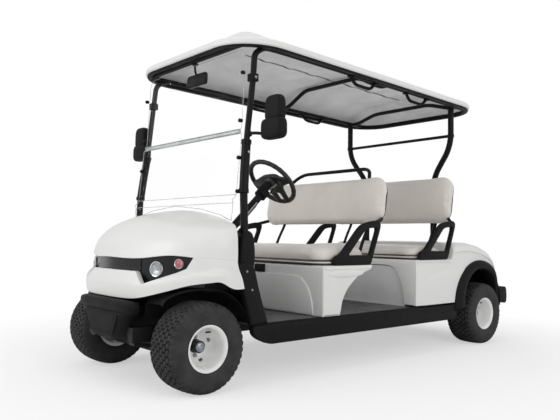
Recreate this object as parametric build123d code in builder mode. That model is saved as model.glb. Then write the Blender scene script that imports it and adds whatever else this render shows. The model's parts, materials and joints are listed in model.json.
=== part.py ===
from build123d import *
import os
from math import atan2, cos, radians, sin, tan

# Four-seat electric golf cart, millimetres.  +Z is up, the cart faces -Y, +X is its left side,
# and the origin is on the ground at the middle of its length and width.

# ---------------------------------------------------------------- driving dimensions
WHEELBASE = 2510
FRONT_OVERHANG = 310
REAR_OVERHANG = 390
LENGTH = FRONT_OVERHANG + WHEELBASE + REAR_OVERHANG
FRONT_AXLE_Y = FRONT_OVERHANG - LENGTH / 2
BODY_HALF_WIDTH = 600
PANEL = 4                       # thickness of every moulded body panel
FIT_GAP = 0.3                   # gap kept between faces that only sit near each other
PIN_GAP = 0.1                   # radial gap of a pin or shaft in its bore

TYRE_RADIUS = 228.5
TYRE_WIDTH = 216
TYRE_CORNER = 34
RIM_RADIUS = 101.6
RIM_FLANGE_RADIUS = 117
AXLE_Z = TYRE_RADIUS
FRONT_HALF_TRACK = 482
REAR_HALF_TRACK = 511

FLOOR_Z = 312                   # top of the chassis rails, under the floor
FLOOR_THICKNESS = 10
RAIL_WIDTH = 50
RAIL_HEIGHT = 77
RAIL_OUTER_X = 250
RAIL_KICK_UP = 105              # how far the rails rise over the rear axle

KINGPIN_X = 400
KINGPIN_RADIUS = 12
STEER_ARM = 95                  # kingpin to tie rod pin, along the cart
STEER_ARM_INSET = 55

# places along the cart are distances behind the front axle
SEAT_RISE = 22                  # how much higher the rear row stands
FRONT_SEAT_FRONT = 780          # front face of the front seat base
REAR_SEAT_FRONT = WHEELBASE - 845
REAR_BASE_SET_BACK = 50         # the rear base's front face, further back under its cushion
SEAT_PITCH = REAR_SEAT_FRONT - REAR_BASE_SET_BACK - FRONT_SEAT_FRONT
SEAT_BASE_DEPTH = 475
SEAT_BACK = FRONT_SEAT_FRONT + SEAT_BASE_DEPTH
SEAT_BASE_TOP = 620
CUSHION_GAP = FIT_GAP
CUSHION_THICKNESS = 112
CUSHION_OVERHANG = 5
CUSHION_HALF_WIDTH = BODY_HALF_WIDTH - 35
BACKREST_HALF_WIDTH = BODY_HALF_WIDTH - 20
BACKREST_THICKNESS = 75
BACKREST_HEIGHT = 325
BACKREST_TILT = 8

ROOF_HALF_WIDTH = BODY_HALF_WIDTH + 10
ROOF_FRONT = 160
ROOF_REAR = WHEELBASE - 20
ROOF_LIP_Z = 1790               # lower edge of the roof lip at its middle
ROOF_LIP_HEIGHT = 70
ROOF_CROWN = 95
ROOF_SLOPE = 1.5
ROOF_RAIL_X = BODY_HALF_WIDTH - 80
ROOF_TUBE_RADIUS = 15


def aft(distance):
    """The Y of a place given as its distance behind the front axle."""
    return FRONT_AXLE_Y + distance


REAR_AXLE_Y = aft(WHEELBASE)
FLOOR_TOP = FLOOR_Z + FLOOR_THICKNESS
RAIL_X = RAIL_OUTER_X - RAIL_WIDTH / 2
SIDES = {"left": 1, "right": -1}

ROOF_MIDDLE = (ROOF_FRONT + ROOF_REAR) / 2
RAIL_DROP = -12                 # roof rails sit this far above the lip's lower edge


def roof_point(x, place, drop):
    """A point under the roof: drop is measured down from the lip's lower edge plane."""
    z = ROOF_LIP_Z - drop - (place - ROOF_MIDDLE) * tan(radians(ROOF_SLOPE))
    return (x, aft(place), z)


os.makedirs("parts", exist_ok=True)


def save(name, builder):
    """Label a finished piece and write its STEP file."""
    builder.part.label = name
    export_step(builder.part, f"parts/{name}.step")


def tube(points, radius, bend=None):
    """A round tube along straight runs joined by bends of one radius."""
    with BuildPart() as piece:
        with BuildLine() as path:
            if bend:
                FilletPolyline(*points, radius=bend)
            else:
                Polyline(*points)
        with BuildSketch(Plane(origin=path.line @ 0, z_dir=path.line % 0)):
            Circle(radius)
        sweep(path=path.line, transition=Transition.ROUND)
    return piece.part


def bent_sheet(points, thickness, x_low, x_high):
    """A sheet whose side view follows points (distance behind the front axle, height)."""
    with BuildPart() as piece:
        with BuildSketch(side_plane(x_low)):
            with BuildLine():
                Polyline(*[(aft(place), z) for place, z in points])
                offset(amount=thickness, side=Side.LEFT)
            make_face()
        extrude(amount=x_high - x_low)
    return piece.part


def block(x, y, z, mode=Mode.ADD):
    """Add or cut a box given by its lower and upper limit on each axis."""
    with Locations(((x[0] + x[1]) / 2, (y[0] + y[1]) / 2, (z[0] + z[1]) / 2)):
        Box(x[1] - x[0], y[1] - y[0], z[1] - z[0], mode=mode)


def side_plane(x):
    """A plane facing +X at x, whose sketch axes are the cart's Y and Z."""
    return Plane(origin=(x, 0, 0), x_dir=(0, 1, 0), z_dir=(1, 0, 0))


def front_plane(y):
    """A plane facing -Y at y, whose sketch axes are the cart's X and Z."""
    return Plane(origin=(0, y, 0), x_dir=(1, 0, 0), z_dir=(0, -1, 0))


# ---------------------------------------------------------------- chassis
BUMPER_DEPTH = 62
BUMPER_ARM = 8                  # length of the arms that carry the bumper on the rails
RAIL_FRONT = BUMPER_DEPTH + BUMPER_ARM - FRONT_OVERHANG
RAIL_REAR = WHEELBASE + 190
KICK_START = WHEELBASE - 450
KICK_END = WHEELBASE - 310
FLOOR_FRONT = 300
CROSS_WIDTH = 50
CROSS_HEIGHT = 45
# distance behind the front axle, and 1 where the rails are raised
CROSS_MEMBERS = [
    (RAIL_FRONT + CROSS_WIDTH / 2, 0),
    (FLOOR_FRONT + 30, 0),
    (FRONT_SEAT_FRONT - 20, 0),
    (SEAT_BACK - 65, 0),
    (REAR_SEAT_FRONT - 25, 0),
    (KICK_START - 40, 0),
    (RAIL_REAR - 30, 1),
]

with BuildPart() as chassis_frame:
    with BuildSketch(side_plane(-RAIL_OUTER_X)):
        with BuildLine():
            Polyline(
                (aft(RAIL_FRONT), FLOOR_Z - RAIL_HEIGHT),
                (aft(KICK_START), FLOOR_Z - RAIL_HEIGHT),
                (aft(KICK_END), FLOOR_Z - RAIL_HEIGHT + RAIL_KICK_UP),
                (aft(RAIL_REAR), FLOOR_Z - RAIL_HEIGHT + RAIL_KICK_UP),
                (aft(RAIL_REAR), FLOOR_Z + RAIL_KICK_UP),
                (aft(KICK_END), FLOOR_Z + RAIL_KICK_UP),
                (aft(KICK_START), FLOOR_Z),
                (aft(RAIL_FRONT), FLOOR_Z),
                close=True,
            )
        make_face()
    extrude(amount=2 * RAIL_OUTER_X)
    block(
        (-RAIL_OUTER_X + RAIL_WIDTH, RAIL_OUTER_X - RAIL_WIDTH),
        (aft(RAIL_FRONT) - 1, aft(RAIL_REAR) + 1),
        (0, FLOOR_Z + RAIL_KICK_UP + 1),
        mode=Mode.SUBTRACT,
    )
    for place, raised in CROSS_MEMBERS:
        top = FLOOR_Z + raised * RAIL_KICK_UP
        block(
            (-RAIL_X, RAIL_X),
            (aft(place) - CROSS_WIDTH / 2, aft(place) + CROSS_WIDTH / 2),
            (top - CROSS_HEIGHT, top),
        )
save("chassis_frame", chassis_frame)

FLOOR_REAR = KICK_START
SILL_THICKNESS = 40
SILL_BOTTOM = 215
SILL_FRONT = 262
SILL_REAR = WHEELBASE - 370
SILL_CORNER = 70
SILL_X = BODY_HALF_WIDTH - SILL_THICKNESS

with BuildPart() as floor:
    block(
        (-SILL_X, SILL_X),
        (aft(FLOOR_FRONT), aft(FLOOR_REAR)),
        (FLOOR_Z, FLOOR_TOP),
    )
save("floor", floor)

with BuildPart() as sills:
    with BuildSketch(side_plane(SILL_X)) as sill_side:
        with BuildLine():
            Polyline(
                (aft(SILL_FRONT), FLOOR_TOP),
                (aft(SILL_REAR), FLOOR_TOP),
                (aft(SILL_REAR), SILL_BOTTOM),
                (aft(SILL_FRONT), SILL_BOTTOM),
                close=True,
            )
        make_face()
        fillet(sill_side.vertices().group_by(Axis.Y)[0].sort_by(Axis.Z)[0], SILL_CORNER)
    extrude(amount=SILL_THICKNESS)
    block(
        (SILL_X - 1, BODY_HALF_WIDTH - PANEL),
        (aft(SILL_FRONT) + SILL_CORNER, aft(SILL_REAR) - PANEL),
        (SILL_BOTTOM + PANEL, FLOOR_TOP - PANEL),
        mode=Mode.SUBTRACT,
    )
    mirror(about=Plane.YZ)
save("sills", sills)

# ---------------------------------------------------------------- axles, springs and steering
BEAM_WIDTH = 56
BEAM_HEIGHT = 46
BEAM_TOP = 196
SPRING_THICKNESS = 14
SPRING_WIDTH = 50
SPRING_HALF_LENGTH = 230
KNUCKLE_RADIUS = 24
KNUCKLE_TOP = 272
KINGPIN_CAP = 8
STUB_RADIUS = 16
HUB_RADIUS = 46
HUB_FACE = 12                   # hub face, outboard of the tyre's middle plane
DRUM_RADIUS = 84
ARM_THICKNESS = 12
ARM_RADIUS = 14
ROD_RADIUS = 8
ROD_GAP = FIT_GAP

with BuildPart() as front_axle:
    block(
        (-KINGPIN_X, KINGPIN_X),
        (aft(0) - BEAM_WIDTH / 2, aft(0) + BEAM_WIDTH / 2),
        (BEAM_TOP - BEAM_HEIGHT, BEAM_TOP),
    )
    with Locations(*[(side * KINGPIN_X, aft(0), BEAM_TOP - BEAM_HEIGHT) for side in (-1, 1)]):
        Cylinder(BEAM_WIDTH / 2, BEAM_HEIGHT, align=(Align.CENTER, Align.CENTER, Align.MIN))
        Cylinder(
            KINGPIN_RADIUS,
            KNUCKLE_TOP + KINGPIN_CAP - BEAM_TOP + BEAM_HEIGHT,
            align=(Align.CENTER, Align.CENTER, Align.MIN),
        )
save("front_axle", front_axle)


def leaf_spring(axle_y, seat_z, eye_z):
    """One leaf spring under a rail: a shallow bow, lowest where it sits on its axle."""
    front = axle_y - SPRING_HALF_LENGTH
    rear = axle_y + SPRING_HALF_LENGTH
    with BuildPart() as piece:
        with BuildSketch(side_plane(RAIL_X - SPRING_WIDTH / 2)):
            with BuildLine():
                ThreePointArc((front, eye_z), (axle_y, seat_z), (rear, eye_z))
                Line((rear, eye_z), (rear, eye_z + SPRING_THICKNESS))
                ThreePointArc(
                    (rear, eye_z + SPRING_THICKNESS),
                    (axle_y, seat_z + SPRING_THICKNESS),
                    (front, eye_z + SPRING_THICKNESS),
                )
                Line((front, eye_z + SPRING_THICKNESS), (front, eye_z))
            make_face()
        extrude(amount=SPRING_WIDTH)
    return piece.part


AXLE_TUBE_RADIUS = 34
RAISED_RAIL_BOTTOM = FLOOR_Z - RAIL_HEIGHT + RAIL_KICK_UP
# axle Y, top of the axle under the spring, underside of the rail above it
SPRINGS = [
    (aft(0), BEAM_TOP, FLOOR_Z - RAIL_HEIGHT),
    (REAR_AXLE_Y, AXLE_Z + AXLE_TUBE_RADIUS, RAISED_RAIL_BOTTOM),
]

with BuildPart() as leaf_springs:
    for spring_y, seat_z, rail_z in SPRINGS:
        add(leaf_spring(spring_y, seat_z + FIT_GAP, rail_z - SPRING_THICKNESS))
    mirror(about=Plane.YZ)
save("leaf_springs", leaf_springs)


def knuckle(side):
    """Steering knuckle: sleeve on the kingpin, stub axle outwards, arm backwards."""
    base_z = BEAM_TOP + FIT_GAP
    upright = (Align.CENTER, Align.CENTER, Align.MIN)
    with BuildPart() as piece:
        with Locations((side * KINGPIN_X, aft(0), base_z)):
            Cylinder(KNUCKLE_RADIUS, KNUCKLE_TOP - base_z, align=upright)
        with Locations(Location((side * KINGPIN_X, aft(0), AXLE_Z), (0, side * 90, 0))):
            Cylinder(STUB_RADIUS, FRONT_HALF_TRACK + HUB_FACE - KINGPIN_X, align=upright)
        with BuildSketch(Plane.XY.offset(base_z)):
            with Locations(
                (side * KINGPIN_X, aft(0)),
                (side * (KINGPIN_X - STEER_ARM_INSET), aft(STEER_ARM)),
            ):
                Circle(ARM_RADIUS)
            make_hull()
        extrude(amount=ARM_THICKNESS)
        with Locations((side * KINGPIN_X, aft(0), BEAM_TOP)):
            Cylinder(
                KINGPIN_RADIUS + PIN_GAP, KNUCKLE_TOP - BEAM_TOP + 1, align=upright, mode=Mode.SUBTRACT
            )
    return piece.part


for side_name, side in SIDES.items():
    with BuildPart() as steering_knuckle:
        add(knuckle(side))
    save(f"knuckle_{side_name}", steering_knuckle)

TIE_ROD_Z = BEAM_TOP + FIT_GAP - ROD_GAP - ROD_RADIUS
TIE_ROD_HALF = KINGPIN_X - STEER_ARM_INSET

with BuildPart() as tie_rod:
    with Locations(Location((0, aft(STEER_ARM), TIE_ROD_Z), (0, 90, 0))):
        Cylinder(ROD_RADIUS, 2 * TIE_ROD_HALF)
    with Locations(*[(side * TIE_ROD_HALF, aft(STEER_ARM), TIE_ROD_Z) for side in (-1, 1)]):
        Sphere(ROD_RADIUS)
save("tie_rod", tie_rod)

DIFF_RADIUS = 82
MOTOR_RADIUS = 88
MOTOR_LENGTH = 250
MOTOR_X = -105
REAR_DRUM_WIDTH = 60
REAR_DRUM_INSET = 70            # drum's outer face, inboard of the tyre's middle plane

with BuildPart() as rear_axle:
    with Locations(Location((0, REAR_AXLE_Y, AXLE_Z), (0, 90, 0))):
        Cylinder(AXLE_TUBE_RADIUS, 2 * (REAR_HALF_TRACK - REAR_DRUM_INSET))
        Cylinder(DIFF_RADIUS, DIFF_RADIUS)
        Cylinder(STUB_RADIUS, 2 * (REAR_HALF_TRACK + HUB_FACE - FIT_GAP))
    for side in (-1, 1):
        drum_x = side * (REAR_HALF_TRACK - REAR_DRUM_INSET - REAR_DRUM_WIDTH / 2)
        with Locations(Location((drum_x, REAR_AXLE_Y, AXLE_Z), (0, 90, 0))):
            Cylinder(DRUM_RADIUS, REAR_DRUM_WIDTH)
    with Locations(Location((MOTOR_X, REAR_AXLE_Y, AXLE_Z), (90, 0, 0))):
        Cylinder(MOTOR_RADIUS, MOTOR_LENGTH + DIFF_RADIUS, align=(Align.CENTER, Align.CENTER, Align.MIN))
    block(
        (MOTOR_X, 0),
        (REAR_AXLE_Y - DIFF_RADIUS / 2, REAR_AXLE_Y + DIFF_RADIUS / 2),
        (AXLE_Z - DIFF_RADIUS / 2, AXLE_Z + DIFF_RADIUS / 2),
    )
save("rear_axle", rear_axle)

# ---------------------------------------------------------------- wheels
RIM_LIP = 8
RIM_WALL = 5
RIM_HALF_WIDTH = 92
RIM_LIP_HEIGHT = RIM_FLANGE_RADIUS - RIM_RADIUS + RIM_WALL
HUB_BORE_GAP = PIN_GAP
HUB_NOSE_RADIUS = 32
HUB_NOSE = 26
DISC_THICKNESS = 7

# name, side, half track, axle Y
WHEELS = [
    ("front_left", 1, FRONT_HALF_TRACK, aft(0)),
    ("front_right", -1, FRONT_HALF_TRACK, aft(0)),
    ("rear_left", 1, REAR_HALF_TRACK, REAR_AXLE_Y),
    ("rear_right", -1, REAR_HALF_TRACK, REAR_AXLE_Y),
]


def wheel_plane(side, half_track, axle_y):
    """A plane whose first axis runs outboard along the axle and whose second is the radius."""
    return Plane(
        origin=(side * half_track, axle_y, AXLE_Z), x_dir=(side, 0, 0), z_dir=(0, -side, 0)
    )


for wheel_name, side, half_track, axle_y in WHEELS:
    section = wheel_plane(side, half_track, axle_y)
    axle = Axis((side * half_track, axle_y, AXLE_Z), (1, 0, 0))
    with BuildPart() as tyre:
        with BuildSketch(section) as tyre_section:
            with Locations((0, (TYRE_RADIUS + RIM_RADIUS) / 2)):
                Rectangle(TYRE_WIDTH, TYRE_RADIUS - RIM_RADIUS)
            fillet(tyre_section.vertices().group_by(Axis.Z)[-1], TYRE_CORNER)
            with Locations((0, RIM_RADIUS)):
                Rectangle(2 * RIM_HALF_WIDTH, 2 * (RIM_FLANGE_RADIUS - RIM_RADIUS), mode=Mode.SUBTRACT)
        revolve(axis=axle)
    save(f"tyre_{wheel_name}", tyre)

    with BuildPart() as rim:
        with BuildSketch(section):
            with Locations((0, RIM_RADIUS - RIM_WALL / 2)):
                Rectangle(2 * RIM_HALF_WIDTH, RIM_WALL)
            for lip in (-1, 1):
                lip_x = lip * (RIM_HALF_WIDTH - RIM_LIP / 2)
                with Locations((lip_x, RIM_FLANGE_RADIUS - RIM_LIP_HEIGHT / 2)):
                    Rectangle(RIM_LIP, RIM_LIP_HEIGHT - 2 * FIT_GAP)
            with Locations((HUB_FACE + DISC_THICKNESS / 2, RIM_RADIUS / 2)):
                Rectangle(DISC_THICKNESS, RIM_RADIUS - RIM_WALL / 2)
            with Locations((HUB_FACE - HUB_NOSE / 2, (HUB_RADIUS + STUB_RADIUS + HUB_BORE_GAP) / 2)):
                Rectangle(HUB_NOSE, HUB_RADIUS - STUB_RADIUS - HUB_BORE_GAP)
            with Locations((HUB_FACE + DISC_THICKNESS + HUB_NOSE / 2 - 1, HUB_NOSE_RADIUS / 2)):
                Rectangle(HUB_NOSE, HUB_NOSE_RADIUS)
        revolve(axis=axle)
    save(f"rim_{wheel_name}", rim)

# ---------------------------------------------------------------- front body
COWL_BOTTOM = 470
COWL_REAR = 160
NOSE_FRONT = 48 - FRONT_OVERHANG
# Cross sections of the front cowl, front to back:
# distance behind the nose, half width, shoulder (top of the side), crown.
COWL_SECTIONS = [
    (0, BODY_HALF_WIDTH - 380, 622, 668),
    (27, BODY_HALF_WIDTH - 285, 655, 742),
    (72, BODY_HALF_WIDTH - 200, 690, 800),
    (127, BODY_HALF_WIDTH - 128, 716, 856),
    (202, BODY_HALF_WIDTH - 62, 742, 890),
    (312, BODY_HALF_WIDTH - 14, 768, 915),
    (COWL_REAR - NOSE_FRONT, BODY_HALF_WIDTH, 790, 932),
]
ARCH_RADIUS = 300
ARCH_CENTRE_Z = 250
ARCH_CENTRE = -10
COWL_SIDE_BOTTOM = 516


def cowl_section(place, half_width, shoulder, crown, inset):
    """One cross section of the cowl: flat bottom, upright sides, arched top."""
    x = half_width - inset
    with BuildSketch(front_plane(aft(NOSE_FRONT + place))) as section:
        with BuildLine():
            Line((-x, COWL_BOTTOM), (x, COWL_BOTTOM))
            Line((x, COWL_BOTTOM), (x, shoulder - inset))
            ThreePointArc((x, shoulder - inset), (0, crown - inset), (-x, shoulder - inset))
            Line((-x, shoulder - inset), (-x, COWL_BOTTOM))
        make_face()
    return section.sketch


def cowl_solid(inset):
    """The cowl's outer form, or its hollow when inset by the panel thickness."""
    with BuildPart() as form:
        for place, half_width, shoulder, crown in COWL_SECTIONS:
            add(cowl_section(place, half_width, shoulder, crown, inset))
        loft(ruled=True)
    return form.part


# Black lamp band set in a pocket across the nose.  Its front runs along points seen from above:
# X on the left side, distance behind the nose.
BAND_FRONT = [
    (0, 22),
    (BODY_HALF_WIDTH - 344, 62),
    (BODY_HALF_WIDTH - 200, 108),
    (BODY_HALF_WIDTH - 104, 176),
]
BAND_Z = (596, 676)
BAND_DEPTH = 16


POCKET_FRONT = NOSE_FRONT - 10   # the pocket is open in front of the nose


def band_line(depth, grow):
    """Plan points of the band's front moved back by a depth, right end to left end."""
    left = [(x, aft(NOSE_FRONT + place + depth)) for x, place in BAND_FRONT]
    end_x, end_y = left[-1]
    left[-1] = (end_x + grow, end_y + grow)
    return [(-x, y) for x, y in reversed(left[1:])] + left


def band_pocket(grow):
    """The pocket that holds the band, or the body of its walls when grown by their thickness."""
    back = band_line(BAND_DEPTH + FIT_GAP + grow, FIT_GAP + grow)
    end_x = back[-1][0]
    with BuildPart() as piece:
        with BuildSketch(Plane.XY.offset(BAND_Z[0] - FIT_GAP - grow)):
            with BuildLine():
                Polyline(*back, (end_x, aft(POCKET_FRONT)), (-end_x, aft(POCKET_FRONT)), close=True)
            make_face()
        extrude(amount=BAND_Z[1] - BAND_Z[0] + 2 * (FIT_GAP + grow))
    return piece.part


with BuildPart() as lamp_band:
    with BuildSketch(Plane.XY.offset(BAND_Z[0])):
        with BuildLine():
            Polyline(*band_line(0, 0), *reversed(band_line(BAND_DEPTH, 0)), close=True)
        make_face()
    extrude(amount=BAND_Z[1] - BAND_Z[0])
save("lamp_band", lamp_band)

with BuildPart() as cowl_hollow:
    add(cowl_solid(PANEL).translate((0, PANEL, 0)))
    add(band_pocket(PANEL), mode=Mode.SUBTRACT)

with BuildPart() as front_cowl:
    add(cowl_solid(0))
    add(cowl_hollow.part, mode=Mode.SUBTRACT)
    add(band_pocket(0), mode=Mode.SUBTRACT)
    with Locations(Location((0, aft(ARCH_CENTRE), ARCH_CENTRE_Z), (0, 90, 0))):
        Cylinder(ARCH_RADIUS, 2 * BODY_HALF_WIDTH + 2, mode=Mode.SUBTRACT)
    block(
        (-BODY_HALF_WIDTH - 1, BODY_HALF_WIDTH + 1),
        (aft(ARCH_CENTRE), aft(COWL_REAR) + 1),
        (COWL_BOTTOM - 1, COWL_SIDE_BOTTOM),
        mode=Mode.SUBTRACT,
    )
save("front_cowl", front_cowl)



def band_plane(run, share, z):
    """A plane on the band's front, a share of the way along one run of its left side."""
    (start_x, start_place), (end_x, end_place) = BAND_FRONT[run], BAND_FRONT[run + 1]
    run_x = end_x - start_x
    run_y = end_place - start_place
    origin = (start_x + share * run_x, aft(NOSE_FRONT + start_place + share * run_y), z)
    return Plane(origin=origin, x_dir=(run_x, run_y, 0), z_dir=(run_y, -run_x, 0))


HEADLAMP_RADIUS = 31
HEADLAMP_DEPTH = 22
TURN_SIGNAL_RADIUS = 19
TURN_SIGNAL_DEPTH = 14

with BuildPart() as headlamps:
    with BuildSketch(band_plane(1, 0.6, 630).offset(FIT_GAP)):
        Circle(HEADLAMP_RADIUS)
    extrude(amount=HEADLAMP_DEPTH)
    mirror(about=Plane.YZ)
save("headlamps", headlamps)

with BuildPart() as turn_signals:
    with BuildSketch(band_plane(2, 0.5, 644).offset(FIT_GAP)):
        Circle(TURN_SIGNAL_RADIUS)
    extrude(amount=TURN_SIGNAL_DEPTH)
    mirror(about=Plane.YZ)
save("turn_signals", turn_signals)

BUMPER_TOP = 452
BUMPER_BOTTOM = 232
BUMPER_HALF_WIDTH = 283
BUMPER_FOOT_HALF_WIDTH = 190
BUMPER_CHEEK = (30, 90)         # the bend in the bumper's end, in from its tip and down
BUMPER_CORNER = 26

with BuildPart() as front_bumper:
    with BuildSketch(front_plane(aft(-FRONT_OVERHANG) + BUMPER_DEPTH)) as bumper_face:
        with BuildLine():
            Polyline(
                (-BUMPER_HALF_WIDTH, BUMPER_TOP),
                (BUMPER_HALF_WIDTH, BUMPER_TOP),
                (BUMPER_HALF_WIDTH - BUMPER_CHEEK[0], BUMPER_TOP - BUMPER_CHEEK[1]),
                (BUMPER_FOOT_HALF_WIDTH, BUMPER_BOTTOM),
                (-BUMPER_FOOT_HALF_WIDTH, BUMPER_BOTTOM),
                (-BUMPER_HALF_WIDTH + BUMPER_CHEEK[0], BUMPER_TOP - BUMPER_CHEEK[1]),
                close=True,
            )
        make_face()
        fillet(bumper_face.vertices(), BUMPER_CORNER)
    extrude(amount=BUMPER_DEPTH)
    fillet(front_bumper.faces().sort_by(Axis.Y)[0].edges(), BUMPER_CORNER / 2)
    for side in SIDES.values():
        block(
            (side * RAIL_X - RAIL_WIDTH / 2, side * RAIL_X + RAIL_WIDTH / 2),
            (aft(-FRONT_OVERHANG) + BUMPER_DEPTH, aft(RAIL_FRONT)),
            (FLOOR_Z - RAIL_HEIGHT, FLOOR_Z),
        )
save("front_bumper", front_bumper)

LINER_INNER_X = 262
LINER_THICKNESS = 4
# side view of the wheel-house liner: over the tyre, then down behind it to the floor
LINER_PATH = [(-150, 490), (-75, 526), (40, 528), (130, 500), (215, 440), (288, FLOOR_Z + 6)]

with BuildPart() as front_liners:
    add(bent_sheet(LINER_PATH, LINER_THICKNESS, LINER_INNER_X, SILL_X))
    mirror(about=Plane.YZ)
save("front_liners", front_liners)

# ---------------------------------------------------------------- dash, posts and windscreen
DASH_HALF_WIDTH = SILL_X - 28
DASH_FRONT = COWL_REAR
FIREWALL_THICKNESS = PANEL
FIREWALL_TAPER = 1.6            # the cowl narrows this much over its last few millimetres
DASH_REAR = COWL_REAR + 85
DASH_BOTTOM = 500
DASH_SHOULDER = 785
DASH_CROWN = 905
TOE_BOARD = [(FLOOR_FRONT + 2, FLOOR_TOP + PANEL), (DASH_REAR - 7, DASH_BOTTOM + PANEL)]
TOE_BOARD_THICKNESS = 6

cowl_rear, rear_half_width, rear_shoulder, rear_crown = COWL_SECTIONS[-1]

with BuildPart() as firewall:
    extrude(
        cowl_section(cowl_rear, rear_half_width, rear_shoulder, rear_crown, PANEL + FIREWALL_TAPER),
        amount=FIREWALL_THICKNESS,
    )
    block(
        (-BODY_HALF_WIDTH, BODY_HALF_WIDTH),
        (aft(COWL_REAR) - FIREWALL_THICKNESS - 1, aft(COWL_REAR) + 1),
        (COWL_BOTTOM - 1, COWL_SIDE_BOTTOM),
        mode=Mode.SUBTRACT,
    )

with BuildPart() as dash_panel:
    for inset in (0, PANEL):
        with BuildSketch(front_plane(aft(DASH_REAR) - inset)):
            with BuildLine():
                x = DASH_HALF_WIDTH - inset
                foot = DASH_BOTTOM + inset
                shoulder = DASH_SHOULDER - inset
                Polyline((-x, shoulder), (-x, foot), (x, foot), (x, shoulder))
                ThreePointArc((x, shoulder), (0, DASH_CROWN - inset), (-x, shoulder))
            make_face()
        extrude(amount=DASH_REAR - DASH_FRONT, mode=Mode.SUBTRACT if inset else Mode.ADD)
    add(firewall.part)
    add(bent_sheet(TOE_BOARD, -TOE_BOARD_THICKNESS, -SILL_X + FIT_GAP, SILL_X - FIT_GAP))
save("dash_panel", dash_panel)

POST_THICKNESS = SILL_THICKNESS
POST_PROFILE = [
    (COWL_REAR + 20, 636),
    (COWL_REAR + 102, 619),
    (SILL_FRONT + 99, FLOOR_TOP + FIT_GAP),
    (SILL_FRONT, FLOOR_TOP + FIT_GAP),
]

with BuildPart() as post_covers:
    with BuildSketch(side_plane(SILL_X)) as post_side:
        with BuildLine():
            Polyline(*[(aft(place), z) for place, z in POST_PROFILE], close=True)
        make_face()
    extrude(amount=POST_THICKNESS)
    mirror(about=Plane.YZ)
save("post_covers", post_covers)

STRUT_RADIUS = 16
STRUT_LOWER_RADIUS = 20
SLEEVE_RADIUS = 25
CLAMP_SIZE = 44
# x, distance behind the front axle, height
STRUT_FOOT = (BODY_HALF_WIDTH - 28, COWL_REAR + 62, 652)
STRUT_SLEEVE_FOOT = (BODY_HALF_WIDTH - 51, COWL_REAR + 64, 1017)
STRUT_SLEEVE_TOP = (BODY_HALF_WIDTH - 74, COWL_REAR + 95, 1292)
STRUT_CLAMP = (BODY_HALF_WIDTH - 72, COWL_REAR + 134, ROOF_LIP_Z - 151)
STRUT_TOP = COWL_REAR + 142


def strut_point(point, side):
    """A strut point on one side, in the cart's frame."""
    return (side * point[0], aft(point[1]), point[2])


strut_top_z = roof_point(0, STRUT_TOP, RAIL_DROP)[2] - ROOF_TUBE_RADIUS - 2 * FIT_GAP
strut_top = (ROOF_RAIL_X, STRUT_TOP, strut_top_z)

with BuildPart() as front_struts:
    for side in SIDES.values():
        foot, sleeve_foot, sleeve_top, clamp, top = [
            strut_point(point, side)
            for point in (STRUT_FOOT, STRUT_SLEEVE_FOOT, STRUT_SLEEVE_TOP, STRUT_CLAMP, strut_top)
        ]
        add(tube([foot, sleeve_foot, sleeve_top], STRUT_LOWER_RADIUS))
        add(tube([sleeve_foot, sleeve_top], SLEEVE_RADIUS))
        add(tube([sleeve_top, clamp, top], STRUT_RADIUS))
        with Locations(clamp):
            Box(CLAMP_SIZE, CLAMP_SIZE, CLAMP_SIZE)
save("front_struts", front_struts)

PANE_THICKNESS = 5
UPPER_PANE_HALF_WIDTH = BODY_HALF_WIDTH - 95
LOWER_PANE_HALF_WIDTH = BODY_HALF_WIDTH - 80
BAR_HALF_WIDTH = BODY_HALF_WIDTH - 118
BAR_PLACE = COWL_REAR + 73
STRUT_AT_BAR = COWL_REAR + 99.5  # strut's middle line at the bar
BAR_Z = 1344
BAR_HEIGHT = 26
BAR_DEPTH = 14
# side views, lowest point first
UPPER_PANE = [(BAR_PLACE + 5, BAR_Z + BAR_HEIGHT / 2), (STRUT_TOP - 40, ROOF_LIP_Z + 16)]
LOWER_PANE = [
    (COWL_REAR - 12, 835),
    (COWL_REAR, 960),
    (COWL_REAR + 36, 1000),
    (BAR_PLACE - 5, BAR_Z - BAR_HEIGHT / 2),
]

with BuildPart() as windscreen:
    add(bent_sheet(UPPER_PANE, PANE_THICKNESS, -UPPER_PANE_HALF_WIDTH, UPPER_PANE_HALF_WIDTH))
    add(bent_sheet(LOWER_PANE, PANE_THICKNESS, -LOWER_PANE_HALF_WIDTH, LOWER_PANE_HALF_WIDTH))
    block(
        (-BAR_HALF_WIDTH, BAR_HALF_WIDTH),
        (aft(BAR_PLACE) - BAR_DEPTH / 2, aft(BAR_PLACE) + BAR_DEPTH / 2),
        (BAR_Z - BAR_HEIGHT / 2, BAR_Z + BAR_HEIGHT / 2),
    )
    for side in SIDES.values():
        clamp_x = sorted((side * (BAR_HALF_WIDTH - 4), side * (STRUT_SLEEVE_TOP[0] + STRUT_RADIUS)))
        block(
            clamp_x,
            (aft(BAR_PLACE) - BAR_DEPTH / 2, aft(STRUT_AT_BAR) - STRUT_RADIUS - FIT_GAP),
            (BAR_Z - BAR_HEIGHT / 2, BAR_Z + BAR_HEIGHT / 2),
        )
    add(cowl_solid(-FIT_GAP), mode=Mode.SUBTRACT)
save("windscreen", windscreen)

# ---------------------------------------------------------------- roof
ROOF_LENGTH = ROOF_REAR - ROOF_FRONT
ROOF_CORNER = 150
ROOF_TOP_INSET_X = 260
ROOF_TOP_INSET_Y = 110
ROOF_PLANE = Plane(
    origin=(0, aft(ROOF_MIDDLE), ROOF_LIP_Z),
    x_dir=(1, 0, 0),
    z_dir=(0, sin(radians(ROOF_SLOPE)), cos(radians(ROOF_SLOPE))),
)


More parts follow.
